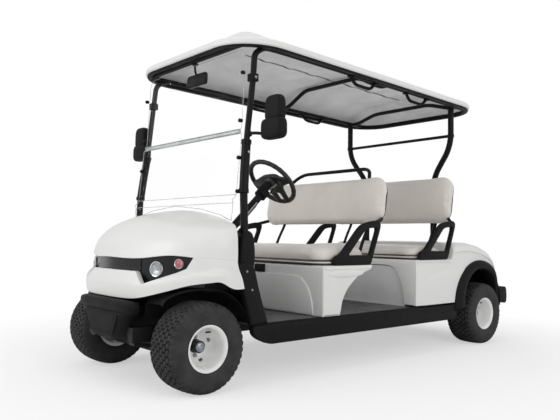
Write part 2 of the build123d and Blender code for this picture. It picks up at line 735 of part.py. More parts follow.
def roof_solid(inset):
    """The roof's outer form, or its hollow when inset by the panel thickness."""
    half_width = ROOF_HALF_WIDTH - inset
    length = ROOF_LENGTH - 2 * inset
    with BuildPart() as form:
        with BuildSketch(ROOF_PLANE):
            RectangleRounded(2 * half_width, length, ROOF_CORNER - inset)
        extrude(amount=ROOF_LIP_HEIGHT - inset)
        with BuildSketch(ROOF_PLANE.offset(ROOF_LIP_HEIGHT - inset)):
            RectangleRounded(2 * half_width, length, ROOF_CORNER - inset)
        with BuildSketch(ROOF_PLANE.offset(ROOF_LIP_HEIGHT + ROOF_CROWN - inset)):
            RectangleRounded(
                2 * (half_width - ROOF_TOP_INSET_X), length - 2 * ROOF_TOP_INSET_Y, ROOF_CORNER - inset
            )
        loft(ruled=True)
    return form.part


with BuildPart() as roof_shell:
    add(roof_solid(0))
    add(roof_solid(PANEL), mode=Mode.SUBTRACT)
save("roof_shell", roof_shell)


BOW_RISE = ROOF_LIP_HEIGHT + ROOF_CROWN - PANEL + RAIL_DROP - ROOF_TUBE_RADIUS - FIT_GAP
REAR_BOW_RISE = BOW_RISE - 30
BOW_SHOULDER_X = ROOF_RAIL_X - 230
REAR_BOW = ROOF_REAR - 90
MIDDLE_BOW = ROOF_MIDDLE + 115
FRONT_BEAM = ROOF_FRONT + 102
TUBE_BEND = 60
GRAB_HANDLES = [
    (ROOF_MIDDLE - 245, ROOF_MIDDLE - 5),
    (ROOF_MIDDLE + 315, ROOF_MIDDLE + 555),
]
HANDLE_DROP = 52
HANDLE_RADIUS = 10

with BuildPart() as roof_frame:
    add(
        tube(
            [
                roof_point(0, FRONT_BEAM, RAIL_DROP),
                roof_point(ROOF_RAIL_X, FRONT_BEAM, RAIL_DROP),
                roof_point(ROOF_RAIL_X, REAR_BOW, RAIL_DROP),
                roof_point(BOW_SHOULDER_X, REAR_BOW, RAIL_DROP - REAR_BOW_RISE),
                roof_point(0, REAR_BOW, RAIL_DROP - REAR_BOW_RISE),
            ],
            ROOF_TUBE_RADIUS,
            TUBE_BEND,
        )
    )
    for start, end in GRAB_HANDLES:
        add(
            tube(
                [
                    roof_point(ROOF_RAIL_X, start, RAIL_DROP),
                    roof_point(ROOF_RAIL_X, start + HANDLE_DROP, RAIL_DROP + HANDLE_DROP),
                    roof_point(ROOF_RAIL_X, end - HANDLE_DROP, RAIL_DROP + HANDLE_DROP),
                    roof_point(ROOF_RAIL_X, end, RAIL_DROP),
                ],
                HANDLE_RADIUS,
                HANDLE_DROP / 2,
            )
        )
    add(
        tube(
            [
                roof_point(ROOF_RAIL_X, MIDDLE_BOW, RAIL_DROP),
                roof_point(BOW_SHOULDER_X, MIDDLE_BOW, RAIL_DROP - BOW_RISE),
                roof_point(0, MIDDLE_BOW, RAIL_DROP - BOW_RISE),
            ],
            ROOF_TUBE_RADIUS,
            TUBE_BEND,
        )
    )
    mirror(about=Plane.YZ)
save("roof_frame", roof_frame)

REAR_STRUT_RADIUS = 18
REAR_STRUT = WHEELBASE - 298
REAR_STRUT_X = BODY_HALF_WIDTH - 100
REAR_STRUT_FOOT_X = BODY_HALF_WIDTH - 255
REAR_STRUT_BEND = 70
REAR_STRUT_SHOULDER_Z = 1470
REAR_STRUT_WAIST_Z = 1250
REAR_STRUT_SET_BACK = 27
REAR_CROSSBAR_Z = 1556
REAR_CROSSBAR_RADIUS = 11
REAR_DECK_Z = 758

strut_y = aft(REAR_STRUT)
strut_foot_y = strut_y + REAR_STRUT_SET_BACK
rear_strut_top = roof_point(0, REAR_STRUT, RAIL_DROP)[2] - ROOF_TUBE_RADIUS - 2 * FIT_GAP

with BuildPart() as rear_struts:
    add(
        tube(
            [
                (REAR_STRUT_X, strut_y, rear_strut_top),
                (REAR_STRUT_X, strut_y, REAR_STRUT_SHOULDER_Z),
                (REAR_STRUT_FOOT_X, strut_foot_y, REAR_STRUT_WAIST_Z),
                (REAR_STRUT_FOOT_X, strut_foot_y, REAR_DECK_Z + FIT_GAP),
            ],
            REAR_STRUT_RADIUS,
            REAR_STRUT_BEND,
        )
    )
    mirror(about=Plane.YZ)
    add(
        tube(
            [
                (-REAR_STRUT_X, strut_y, REAR_CROSSBAR_Z),
                (REAR_STRUT_X, strut_y, REAR_CROSSBAR_Z),
            ],
            REAR_CROSSBAR_RADIUS,
        )
    )
save("rear_struts", rear_struts)

# ---------------------------------------------------------------- mirrors
MIRROR_X = BODY_HALF_WIDTH + 118
MIRROR_PLACE = COWL_REAR + 168
MIRROR_Z = 1402
MIRROR_SIZE = (120, 46, 230)
MIRROR_ARM_Z = 1330
MIRROR_ARM_RADIUS = 8
MIRROR_ARM_PLACE = COWL_REAR + 102
INNER_MIRROR_SIZE = (210, 26, 90)
INNER_MIRROR_Z = ROOF_LIP_Z - 72
INNER_MIRROR_PLACE = FRONT_BEAM + 28
INNER_MIRROR_STEM = 7
INNER_MIRROR_KNEE = 12

mirror_arm_end_y = aft(MIRROR_PLACE - MIRROR_SIZE[1] / 4)

with BuildPart() as side_mirrors:
    for side in SIDES.values():
        with BuildPart() as housing:
            with Locations((side * MIRROR_X, aft(MIRROR_PLACE), MIRROR_Z)):
                Box(*MIRROR_SIZE)
            fillet(housing.edges().filter_by(Axis.Z), MIRROR_SIZE[1] / 3)
        add(
            tube(
                [
                    (side * (STRUT_SLEEVE_TOP[0] + STRUT_RADIUS + 1), aft(MIRROR_ARM_PLACE), MIRROR_ARM_Z),
                    (side * (MIRROR_X - MIRROR_SIZE[0] / 4), mirror_arm_end_y, MIRROR_ARM_Z),
                ],
                MIRROR_ARM_RADIUS,
            )
        )
save("side_mirrors", side_mirrors)

with BuildPart() as interior_mirror:
    with Locations((0, aft(INNER_MIRROR_PLACE), INNER_MIRROR_Z)):
        Box(*INNER_MIRROR_SIZE)
    fillet(interior_mirror.edges().filter_by(Axis.Y), INNER_MIRROR_SIZE[2] / 4)
    beam_bottom = roof_point(0, FRONT_BEAM, RAIL_DROP)[2] - ROOF_TUBE_RADIUS
    add(
        tube(
            [
                (0, aft(INNER_MIRROR_PLACE), INNER_MIRROR_Z),
                (0, aft(INNER_MIRROR_PLACE), INNER_MIRROR_Z + INNER_MIRROR_SIZE[2] / 2 + INNER_MIRROR_KNEE),
                (0, aft(FRONT_BEAM), beam_bottom - INNER_MIRROR_KNEE),
                (0, aft(FRONT_BEAM), beam_bottom - FIT_GAP),
            ],
            INNER_MIRROR_STEM,
        )
    )
save("interior_mirror", interior_mirror)

# ---------------------------------------------------------------- steering wheel and pedals
WHEEL_X = 300
WHEEL_PLACE = FRONT_SEAT_FRONT - 147
WHEEL_Z = 1113
WHEEL_TILT = 44                 # column's rise above level
WHEEL_RADIUS = 168
WHEEL_RIM_RADIUS = 13
WHEEL_HUB_RADIUS = 52
WHEEL_HUB_DEPTH = 34
SPOKE_WIDTH = 30
SPOKE_THICKNESS = 12
SPOKE_ANGLES = (200, 340, 270)
COLUMN_RADIUS = 22
COLUMN_HEAD_RADIUS = 36
COLUMN_HEAD = 95
COLUMN_GAP = FIT_GAP
COLUMN_SPACE = (DASH_BOTTOM, 1000)

WHEEL_PLANE = Plane(
    origin=(WHEEL_X, aft(WHEEL_PLACE), WHEEL_Z),
    x_dir=(1, 0, 0),
    z_dir=(0, cos(radians(WHEEL_TILT)), sin(radians(WHEEL_TILT))),
)

with BuildPart() as steering_wheel:
    with BuildSketch(WHEEL_PLANE.rotated((90, 0, 0))):
        with Locations((WHEEL_RADIUS - WHEEL_RIM_RADIUS, 0)):
            Circle(WHEEL_RIM_RADIUS)
    revolve(axis=Axis(WHEEL_PLANE.origin, WHEEL_PLANE.z_dir))
    with BuildSketch(WHEEL_PLANE.offset(-WHEEL_HUB_DEPTH)):
        Circle(WHEEL_HUB_RADIUS)
    extrude(amount=WHEEL_HUB_DEPTH)
    with BuildSketch(WHEEL_PLANE.offset(-WHEEL_HUB_DEPTH / 2)):
        for angle in SPOKE_ANGLES:
            with Locations(Location((0, 0), angle)):
                Rectangle(
                    WHEEL_RADIUS - WHEEL_RIM_RADIUS, SPOKE_WIDTH, align=(Align.MIN, Align.CENTER)
                )
    extrude(amount=SPOKE_THICKNESS)
save("steering_wheel", steering_wheel)

COLUMN_LENGTH = (WHEEL_PLACE - DASH_REAR) / cos(radians(WHEEL_TILT)) - WHEEL_HUB_DEPTH - COLUMN_GAP

with BuildPart() as steering_column:
    with BuildSketch(WHEEL_PLANE.offset(-WHEEL_HUB_DEPTH - COLUMN_GAP)):
        Circle(COLUMN_HEAD_RADIUS)
    extrude(amount=-COLUMN_HEAD)
    with BuildSketch(WHEEL_PLANE.offset(-WHEEL_HUB_DEPTH - COLUMN_GAP)):
        Circle(COLUMN_RADIUS)
    extrude(amount=-COLUMN_LENGTH)
    block(
        (0, 2 * WHEEL_X),
        (aft(DASH_REAR) - WHEEL_X, aft(DASH_REAR) + FIT_GAP),
        COLUMN_SPACE,
        mode=Mode.SUBTRACT,
    )
save("steering_column", steering_column)

PEDAL_SIZE = (66, 12, 82)
PEDAL_Z = 440
PEDAL_PLACE = FLOOR_FRONT + 30
PEDAL_TILT = 20
PEDAL_ARM = 8
PEDAL_XS = (WHEEL_X - 70, WHEEL_X + 70)
PEDAL_ELBOW = (DASH_REAR + 45, DASH_BOTTOM + 40)
PEDAL_ROOT = (DASH_REAR, DASH_BOTTOM + 60)

with BuildPart() as pedals:
    for pedal_x in PEDAL_XS:
        with Locations(Location((pedal_x, aft(PEDAL_PLACE), PEDAL_Z), (PEDAL_TILT, 0, 0))):
            Box(*PEDAL_SIZE)
        add(
            tube(
                [
                    (pedal_x, aft(PEDAL_PLACE), PEDAL_Z),
                    (pedal_x, aft(PEDAL_ELBOW[0]), PEDAL_ELBOW[1]),
                    (pedal_x, aft(PEDAL_ROOT[0]), PEDAL_ROOT[1]),
                ],
                PEDAL_ARM,
            )
        )
    block(
        (0, 2 * WHEEL_X),
        (aft(DASH_REAR) - 2 * PEDAL_ARM, aft(DASH_REAR) + FIT_GAP),
        COLUMN_SPACE,
        mode=Mode.SUBTRACT,
    )
save("pedals", pedals)

# ---------------------------------------------------------------- seats
ARMREST_THICKNESS = 26
ARMREST_X = CUSHION_HALF_WIDTH + 10
# side view of an armrest: distance behind the seat front, height above the seat base
ARMREST_OUTLINE = [(81, 0), (100, 52), (145, 68), (320, 244), (385, 264), (488, 275), (512, 240), (416, 0)]
ARMREST_HOLE = [(218, 62), (365, 212), (465, 226), (399, 62)]
BACK_PLACE = SEAT_BACK + 7
BACK_Z = 872
BACKREST_CORNER = 75
BACKREST_EDGE = 25
CUSHION_EDGE = 30
BACK_FRAME_RADIUS = 12
BACK_FRAME_BEND = 40
BACK_FRAME_Z = BACK_Z - 26      # the supports run along the backrest's rear plane from here up
BACK_SUPPORT_XS = (130, 400)
BACK_SUPPORT_TOP = 1080
BACK_SUPPORT_ROOT = 60          # height of a support's upright foot
BACK_SUPPORT_INSET = 18         # from the support to the base's rear edge, and to the cushion
ARMREST_TIE_DROP = 30
HINGE_RADIUS = 5
HINGE_LEAF_HEIGHT = 20
HINGE_SPAN = (250, 320)
SEAT_OPENING_HALF_WIDTH = 440
SEAT_OPENING_INSET = 50
# grab bar behind the front backrest, from its rise off the supports: X, place, height
GRAB_BAR = [(400, SEAT_BACK + 150, 1180), (330, SEAT_BACK + 232, 1262), (0, SEAT_BACK + 232, 1262)]

# name, front of the base, step back from the front row, step up from the front row
ROWS = [
    ("front", FRONT_SEAT_FRONT, 0, 0),
    ("rear", REAR_SEAT_FRONT, SEAT_PITCH, SEAT_RISE),
]



def armrest(step, rise):
    """One armrest frame: a leaning loop standing on the seat base."""
    base = SEAT_BASE_TOP + rise + FIT_GAP
    with BuildPart() as piece:
        with BuildSketch(side_plane(ARMREST_X)):
            for outline, mode in ((ARMREST_OUTLINE, Mode.ADD), (ARMREST_HOLE, Mode.SUBTRACT)):
                with BuildLine():
                    Polyline(
                        *[(aft(FRONT_SEAT_FRONT + step + place), base + z) for place, z in outline],
                        close=True,
                    )
                make_face(mode=mode)
        extrude(amount=ARMREST_THICKNESS)
    return piece.part


def hinge_barrels(place, z, radius):
    """Hinge barrels under the front edge of a seat, on the axis that the cushion lifts about."""
    with BuildPart() as piece:
        for side in SIDES.values():
            with Locations(Location((side * sum(HINGE_SPAN) / 2, aft(place), z), (0, 90, 0))):
                Cylinder(radius, HINGE_SPAN[1] - HINGE_SPAN[0] + 2 * (radius - HINGE_RADIUS))
    return piece.part


def hinge_leaves(place, z):
    """The barrels with their leaves, which stand against the base's front face."""
    with BuildPart() as piece:
        add(hinge_barrels(place, z, HINGE_RADIUS))
        for side in SIDES.values():
            block(
                sorted(side * x for x in HINGE_SPAN),
                (aft(place), aft(place + CUSHION_OVERHANG)),
                (z - HINGE_LEAF_HEIGHT, z),
            )
    return piece.part


for row, seat_front, step, rise in ROWS:
    base_top = SEAT_BASE_TOP + rise
    hinge_place = seat_front - CUSHION_OVERHANG
    hinge_z = base_top + CUSHION_GAP
    support_place = SEAT_BACK + step - BACK_SUPPORT_INSET
    cushion_back = support_place - BACK_SUPPORT_INSET
    with BuildPart() as cushion:
        block(
            (-CUSHION_HALF_WIDTH, CUSHION_HALF_WIDTH),
            (aft(hinge_place), aft(cushion_back)),
            (hinge_z, hinge_z + CUSHION_THICKNESS - rise),
        )
        fillet(cushion.faces().sort_by(Axis.Z)[-1].edges(), CUSHION_EDGE)
        add(hinge_barrels(hinge_place, hinge_z, HINGE_RADIUS + FIT_GAP), mode=Mode.SUBTRACT)
    save(f"{row}_cushion", cushion)

    lean = radians(BACKREST_TILT)
    back_plane = Plane(
        origin=(0, aft(BACK_PLACE + step), BACK_Z + rise),
        x_dir=(1, 0, 0),
        z_dir=(0, -cos(lean), sin(lean)),
    )
    with BuildPart() as backrest:
        with BuildSketch(back_plane):
            with Locations((0, BACKREST_HEIGHT / 2)):
                RectangleRounded(2 * BACKREST_HALF_WIDTH, BACKREST_HEIGHT, BACKREST_CORNER)
        extrude(amount=-BACKREST_THICKNESS)
        fillet(backrest.faces().sort_by(Axis.Y)[0].edges(), BACKREST_EDGE)
    save(f"{row}_backrest", backrest)

    with BuildPart() as seat_frame:
        frame_z = BACK_FRAME_Z + rise
        behind_back = (BACKREST_THICKNESS + BACK_FRAME_RADIUS + FIT_GAP) / cos(lean)
        frame_place = BACK_PLACE + step + behind_back + (BACK_FRAME_Z - BACK_Z) * tan(lean)
        top_z = BACK_SUPPORT_TOP + rise
        top_place = frame_place + (top_z - frame_z) * tan(lean)
        tie_x = ARMREST_X + ARMREST_THICKNESS / 2
        tie_place = FRONT_SEAT_FRONT + step + ARMREST_OUTLINE[5][0] - BACK_FRAME_RADIUS
        add(armrest(step, rise))
        for support_x in BACK_SUPPORT_XS:
            support = [
                (support_x, aft(support_place), base_top + FIT_GAP),
                (support_x, aft(support_place), base_top + BACK_SUPPORT_ROOT),
                (support_x, aft(frame_place), frame_z),
                (support_x, aft(top_place), top_z),
            ]
            if row == "front" and support_x == BACK_SUPPORT_XS[-1]:
                support += [(x, aft(place), z) for x, place, z in GRAB_BAR]
            add(tube(support, BACK_FRAME_RADIUS, BACK_FRAME_BEND))
        add(
            tube(
                [
                    (0, aft(frame_place), frame_z),
                    (tie_x, aft(frame_place), frame_z),
                    (tie_x, aft(tie_place), frame_z - ARMREST_TIE_DROP),
                ],
                BACK_FRAME_RADIUS,
                ARMREST_TIE_DROP,
            )
        )
        mirror(about=Plane.YZ)
    save(f"{row}_seat_frame", seat_frame)

BASE_FOOT_REAR = FRONT_SEAT_FRONT + 153
BASE_EDGE_HEIGHT = 30           # upright edge at the base's rear
BASE_CURVE = (FRONT_SEAT_FRONT + 254, 541)


def seat_opening(seat_front, seat_rear, top):
    """Cut the opening in a base's top panel, under its cushion."""
    block(
        (-SEAT_OPENING_HALF_WIDTH, SEAT_OPENING_HALF_WIDTH),
        (aft(seat_front + SEAT_OPENING_INSET), aft(seat_rear - SEAT_OPENING_INSET)),
        (top - 2 * PANEL, top + 1),
        mode=Mode.SUBTRACT,
    )


with BuildPart() as front_seat_base:
    for inset in (0, PANEL):
        foot = aft(BASE_FOOT_REAR - inset)
        front = aft(FRONT_SEAT_FRONT + inset)
        rear = aft(SEAT_BACK - inset)
        top = SEAT_BASE_TOP - inset
        edge = SEAT_BASE_TOP - BASE_EDGE_HEIGHT + inset
        with BuildSketch(side_plane(-BODY_HALF_WIDTH + inset)):
            with BuildLine():
                Polyline((foot, FLOOR_TOP), (front, FLOOR_TOP), (front, top), (rear, top), (rear, edge))
                ThreePointArc((rear, edge), (aft(BASE_CURVE[0]), BASE_CURVE[1] + inset), (foot, FLOOR_TOP))
            make_face()
        extrude(amount=2 * (BODY_HALF_WIDTH - inset), mode=Mode.SUBTRACT if inset else Mode.ADD)
    seat_opening(FRONT_SEAT_FRONT, SEAT_BACK, SEAT_BASE_TOP)
    add(hinge_leaves(FRONT_SEAT_FRONT - CUSHION_OVERHANG, SEAT_BASE_TOP + CUSHION_GAP))
save("front_seat_base", front_seat_base)

# ---------------------------------------------------------------- rear body
REAR_BODY_BOTTOM = FLOOR_TOP
REAR_WALL_BOTTOM = 430
REAR_SEAT_TOP = SEAT_BASE_TOP + SEAT_RISE
REAR_BODY_END = WHEELBASE + 278
REAR_ARCH = WHEELBASE - 50
REAR_ARCH_Z = 300
REAR_ARCH_RADIUS = 285
FLARE_WIDTH = 46
FLARE_STANDOFF = 25
FLARE_INNER_X = REAR_HALF_TRACK - TYRE_WIDTH / 2 - 18

REAR_BODY_OUTLINE = [
    (REAR_SEAT_FRONT, REAR_BODY_BOTTOM),
    (REAR_SEAT_FRONT, REAR_SEAT_TOP),
    (SEAT_BACK + SEAT_PITCH, REAR_SEAT_TOP),
    (WHEELBASE - 395, 745),
    (WHEELBASE - 360, REAR_DECK_Z),
    (WHEELBASE - 180, REAR_DECK_Z),
    (WHEELBASE - 40, 724),
    (WHEELBASE + 100, 652),
    (WHEELBASE + 210, 545),
    (REAR_BODY_END, REAR_WALL_BOTTOM),
    (REAR_BODY_END, REAR_BODY_BOTTOM),
]

with BuildPart() as rear_body:
    for inset in (0, PANEL):
        with BuildSketch(side_plane(-BODY_HALF_WIDTH + inset)):
            with BuildLine():
                Polyline(*[(aft(place), z) for place, z in REAR_BODY_OUTLINE], close=True)
            make_face()
            if inset:
                offset(amount=-inset, mode=Mode.REPLACE)
        extrude(amount=2 * (BODY_HALF_WIDTH - inset), mode=Mode.SUBTRACT if inset else Mode.ADD)
    block(
        (-BODY_HALF_WIDTH + PANEL, BODY_HALF_WIDTH - PANEL),
        (aft(REAR_SEAT_FRONT) + PANEL, aft(REAR_BODY_END) + 1),
        (REAR_BODY_BOTTOM - 1, REAR_BODY_BOTTOM + 2 * PANEL),
        mode=Mode.SUBTRACT,
    )
    block(
        (-BODY_HALF_WIDTH - 1, BODY_HALF_WIDTH + 1),
        (aft(REAR_ARCH), aft(REAR_BODY_END) + 1),
        (REAR_BODY_BOTTOM - 1, REAR_WALL_BOTTOM),
        mode=Mode.SUBTRACT,
    )
    with Locations(Location((0, aft(REAR_ARCH), REAR_ARCH_Z), (0, 90, 0))):
        Cylinder(REAR_ARCH_RADIUS + FLARE_WIDTH / 2, 2 * BODY_HALF_WIDTH + 2, mode=Mode.SUBTRACT)
    seat_opening(REAR_SEAT_FRONT, SEAT_BACK + SEAT_PITCH, REAR_SEAT_TOP)
    add(hinge_leaves(REAR_SEAT_FRONT - CUSHION_OVERHANG, REAR_SEAT_TOP + CUSHION_GAP))
save("rear_body", rear_body)

FLARE_LINER_RADIUS = REAR_ARCH_RADIUS + FLARE_WIDTH / 2 - 1
flare_x = BODY_HALF_WIDTH + FIT_GAP
flare_end_x = flare_x + FLARE_STANDOFF
flare_rim = REAR_ARCH_RADIUS + FLARE_WIDTH
flare_inside = FLARE_LINER_RADIUS - PANEL

with BuildPart() as rear_flares:
    # the arch's flange and liner in section: X, and radius from the arch's centre
    with BuildSketch(Plane(origin=(0, aft(REAR_ARCH), REAR_ARCH_Z), x_dir=(1, 0, 0), z_dir=(0, -1, 0))):
        with BuildLine():
            Polyline(
                (FLARE_INNER_X, flare_inside),
                (flare_end_x, flare_inside),
                (flare_end_x, flare_rim - FLARE_STANDOFF),
                (flare_x, flare_rim),
                (flare_x, FLARE_LINER_RADIUS),
                (FLARE_INNER_X, FLARE_LINER_RADIUS),
                close=True,
            )
        make_face()
    revolve(axis=Axis((0, aft(REAR_ARCH), REAR_ARCH_Z), (1, 0, 0)))
    block(
        (0, 2 * BODY_HALF_WIDTH),
        (aft(REAR_ARCH) - 2 * REAR_ARCH_RADIUS, aft(REAR_ARCH) + 2 * REAR_ARCH_RADIUS),
        (REAR_ARCH_Z - 2 * REAR_ARCH_RADIUS, FLOOR_TOP + FIT_GAP),
        mode=Mode.SUBTRACT,
    )
    mirror(about=Plane.YZ)
save("rear_flares", rear_flares)

BUMPER_REAR_Z = (283, 405)
BUMPER_REAR_HALF_WIDTH = BODY_HALF_WIDTH - 55
BUMPER_REAR_CORNER = 30
BUMPER_REAR_DEPTH = 85

with BuildPart() as rear_bumper:
    block(
        (-BUMPER_REAR_HALF_WIDTH, BUMPER_REAR_HALF_WIDTH),
        (aft(WHEELBASE + REAR_OVERHANG) - BUMPER_REAR_DEPTH, aft(WHEELBASE + REAR_OVERHANG)),
        BUMPER_REAR_Z,
    )
    fillet(rear_bumper.edges().filter_by(Axis.Z), BUMPER_REAR_CORNER)
    for side in SIDES.values():
        middle = side * RAIL_X
        block(
            (middle - RAIL_WIDTH / 2, middle + RAIL_WIDTH / 2),
            (aft(RAIL_REAR) + FIT_GAP, aft(WHEELBASE + REAR_OVERHANG) - BUMPER_REAR_DEPTH),
            (RAISED_RAIL_BOTTOM, BUMPER_REAR_Z[1]),
        )
save("rear_bumper", rear_bumper)

BATTERY_HALF_WIDTH = 420
BATTERY_PLACES = (REAR_SEAT_FRONT + 35, REAR_SEAT_FRONT + 365)
BATTERY_HEIGHT = 268

with BuildPart() as battery_pack:
    block(
        (-BATTERY_HALF_WIDTH, BATTERY_HALF_WIDTH),
        (aft(BATTERY_PLACES[0]), aft(BATTERY_PLACES[1])),
        (FLOOR_TOP, FLOOR_TOP + BATTERY_HEIGHT),
    )
save("battery_pack", battery_pack)

TAIL_LAMP_X = BODY_HALF_WIDTH - 160
TAIL_LAMP_SIZE = (84, 42)
TAIL_LAMP_THICKNESS = 18
slope_top, slope_foot = REAR_BODY_OUTLINE[-3], REAR_BODY_OUTLINE[-2]
slope_angle = atan2(slope_top[1] - slope_foot[1], slope_foot[0] - slope_top[0])
lamp_plane = Plane(
    origin=(0, aft((slope_top[0] + slope_foot[0]) / 2), (slope_top[1] + slope_foot[1]) / 2),
    x_dir=(1, 0, 0),
    z_dir=(0, sin(slope_angle), cos(slope_angle)),
)

with BuildPart() as tail_lamps:
    with BuildSketch(lamp_plane.offset(FIT_GAP)):
        with Locations((-TAIL_LAMP_X, 0), (TAIL_LAMP_X, 0)):
            Rectangle(*TAIL_LAMP_SIZE)
    extrude(amount=TAIL_LAMP_THICKNESS)
save("tail_lamps", tail_lamps)
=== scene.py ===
"""Four-seat golf cart: moulded panels, vinyl cushions, wheels and finishes laid over its solids, in metres."""
import json
import math
import bmesh
import bpy
import numpy as np
from mathutils import Matrix, Vector
from bpy.props import FloatProperty, FloatVectorProperty, IntProperty, PointerProperty


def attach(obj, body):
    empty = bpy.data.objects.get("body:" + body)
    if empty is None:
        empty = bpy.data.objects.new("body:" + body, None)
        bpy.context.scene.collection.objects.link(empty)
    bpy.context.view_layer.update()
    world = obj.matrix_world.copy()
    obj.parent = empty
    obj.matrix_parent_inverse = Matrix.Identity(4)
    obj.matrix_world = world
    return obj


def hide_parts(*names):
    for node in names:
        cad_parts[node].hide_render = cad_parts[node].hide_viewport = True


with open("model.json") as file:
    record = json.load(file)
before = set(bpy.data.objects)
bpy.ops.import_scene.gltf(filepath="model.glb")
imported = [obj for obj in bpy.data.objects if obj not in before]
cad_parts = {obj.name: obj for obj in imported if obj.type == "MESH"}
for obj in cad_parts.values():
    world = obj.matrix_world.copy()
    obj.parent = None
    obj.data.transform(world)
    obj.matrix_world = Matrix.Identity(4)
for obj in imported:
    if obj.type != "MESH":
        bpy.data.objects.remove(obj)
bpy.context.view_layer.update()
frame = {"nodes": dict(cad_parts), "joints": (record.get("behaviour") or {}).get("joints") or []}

bl_info = {
    "name": "Golf cart dressing",
    "version": (1, 0, 0),
    "blender": (4, 5, 0),
    "location": "3D View > Sidebar > Golf cart",
    "description": "Builds a four-seat golf cart's panels, cushions, wheels and finishes over its solids",
    "category": "Object",
}

JOINTS = {joint["name"]: joint for joint in frame["joints"]}
AXLE = JOINTS["steer_left"]["pos_m"][1]          # every place below is measured aft of the front axle
HUB_Z = JOINTS["spin_front_left"]["pos_m"][2]
ROW = 0.835                                      # the rear bench stands this far behind the front one
RISE = 0.022                                     # and this much higher
MERGE = 2e-5                                     # vertices closer than this become one
SPECK = 1e-6                                     # edges shorter than this are dropped
SHARP = 34                                       # edges that turn more than these degrees stay crisp
BEVEL_FROM = math.radians(38)                    # edges that turn less than this stay unrounded
BANDS = 3.183                                    # bands a wave texture draws in one unit at a scale of 1
FRONT = ((1, 0, 0), (0, 0, 1))                   # the two directions of a plate that faces forwards,
SIDE = ((0, 1, 0), (0, 0, 1))                    # sideways
FLAT = ((1, 0, 0), (0, 1, 0))                    # and upwards
PANEL, PLASTIC, STEEL, ZINC = "capped_abs_panel", "grained_polypropylene", "powder_coated_steel", "zinc_plated_steel"


def joint_place(name):
    """A joint's place, measured from the front axle."""
    return np.array(JOINTS[name]["pos_m"]) - (0, AXLE, 0)


def linear(code):
    """An sRGB hex value as linear red, green, blue: v/12.92 when dark, else ((v+0.055)/1.055)^2.4."""
    v = np.array([int(code[i:i + 2], 16) for i in (1, 3, 5)]) / 255
    return tuple(float(c) for c in np.where(v <= 0.04045, v / 12.92, ((v + 0.055) / 1.055) ** 2.4))


# ---------------------------------------------------------------- shapes

def spline_weights(knots, at):
    """Weights of a natural cubic spline: each row says how much of every knot's value makes the value at one place."""
    t = np.asarray(knots, float)
    n, h = len(t), np.diff(t)
    bend, load, k = np.zeros((n, n)), np.zeros((n, n)), np.arange(1, n - 1)
    bend[0, 0] = bend[-1, -1] = 1
    bend[k, k - 1], bend[k, k], bend[k, k + 1] = h[:-1], 2 * (h[:-1] + h[1:]), h[1:]
    load[k, k - 1], load[k, k], load[k, k + 1] = 6 / h[:-1], -6 / h[:-1] - 6 / h[1:], 6 / h[1:]
    curve, x = np.linalg.solve(bend, load), np.asarray(at, float)
    i = np.clip(np.searchsorted(t, x, "right") - 1, 0, n - 2)
    eye, hi, a, b = np.eye(n), h[i][:, None], (t[i + 1] - x)[:, None], (x - t[i])[:, None]
    return ((a**3 * curve[i] + b**3 * curve[i + 1]) / (6 * hi)
            + (eye[i] / hi - curve[i] * hi / 6) * a + (eye[i + 1] / hi - curve[i + 1] * hi / 6) * b)


def chord(points):
    """Distance run along a row of points, starting from 0."""
    return np.r_[0, np.cumsum(np.linalg.norm(np.diff(points, axis=0), axis=1))]


def spline(points, count):
    """A natural cubic spline through the points, sampled evenly along its chords."""
    points = np.asarray(points, float)
    t = chord(points)
    return spline_weights(t, np.linspace(0, t[-1], count)) @ points


def draped(net, rows, cols, u=None):
    """A surface through a net of points: one spline down the rows, then one along the columns, P = Wr N Wc.
    Its columns are evenly spaced, or stand at the runs u."""
    net = np.asarray(net, float)
    tr = np.mean([chord(net[:, j]) for j in range(net.shape[1])], axis=0)
    tc = np.mean([chord(net[i]) for i in range(net.shape[0])], axis=0)
    v = np.linspace(0, tr[-1], rows)
    u = np.linspace(0, tc[-1], cols) if u is None else u
    return np.einsum("ri,ijk,cj->rck", spline_weights(tr, v), net, spline_weights(tc, u))


def whole(half):
    """A half net, from the middle line outwards, joined to its mirror image across the cart."""
    half = np.asarray(half, float)
    return np.concatenate([half[:, :0:-1] * (-1, 1, 1), half], axis=1)


def softened(points, reach, steps=7, closed=False):
    """A path with rounded corners: each corner P becomes (1-s)^2 A + 2s(1-s) P + s^2 B, where A and B lie reach before
    and after it."""
    p = np.asarray(points, float)
    before, after = np.roll(p, 1, 0), np.roll(p, -1, 0)
    r = np.broadcast_to(np.asarray(reach, float), len(p))[:, None]
    a = p + (before - p) * np.minimum(r / np.linalg.norm(before - p, axis=1, keepdims=True).clip(1e-9), 0.49)
    b = p + (after - p) * np.minimum(r / np.linalg.norm(after - p, axis=1, keepdims=True).clip(1e-9), 0.49)
    s = np.linspace(0, 1, steps)[None, :, None]
    arcs = (1 - s) ** 2 * a[:, None] + 2 * s * (1 - s) * p[:, None] + s**2 * b[:, None]
    if closed:
        return arcs.reshape(-1, p.shape[1])
    return np.concatenate([p[:1], arcs[1:-1].reshape(-1, p.shape[1]), p[-1:]])


def stacked(x, y, z):
    """A grid of points from its three coordinates, each one spread over the rows or columns it lacks."""
    return np.stack(np.broadcast_arrays(x, y, z), -1)


def grid(points, rows=False, cols=False):
    """Vertices and quads of a grid of points, each joined to the next both ways, and round where rows or cols is
    True."""
    n, m = points.shape[:2]
    a, b = np.meshgrid(np.arange(n if rows else n - 1), np.arange(m if cols else m - 1), indexing="ij")
    c, d = (a + 1) % n, (b + 1) % m
    return points.reshape(-1, 3), np.stack([a * m + b, a * m + d, c * m + d, c * m + b], -1).reshape(-1, 4).tolist()


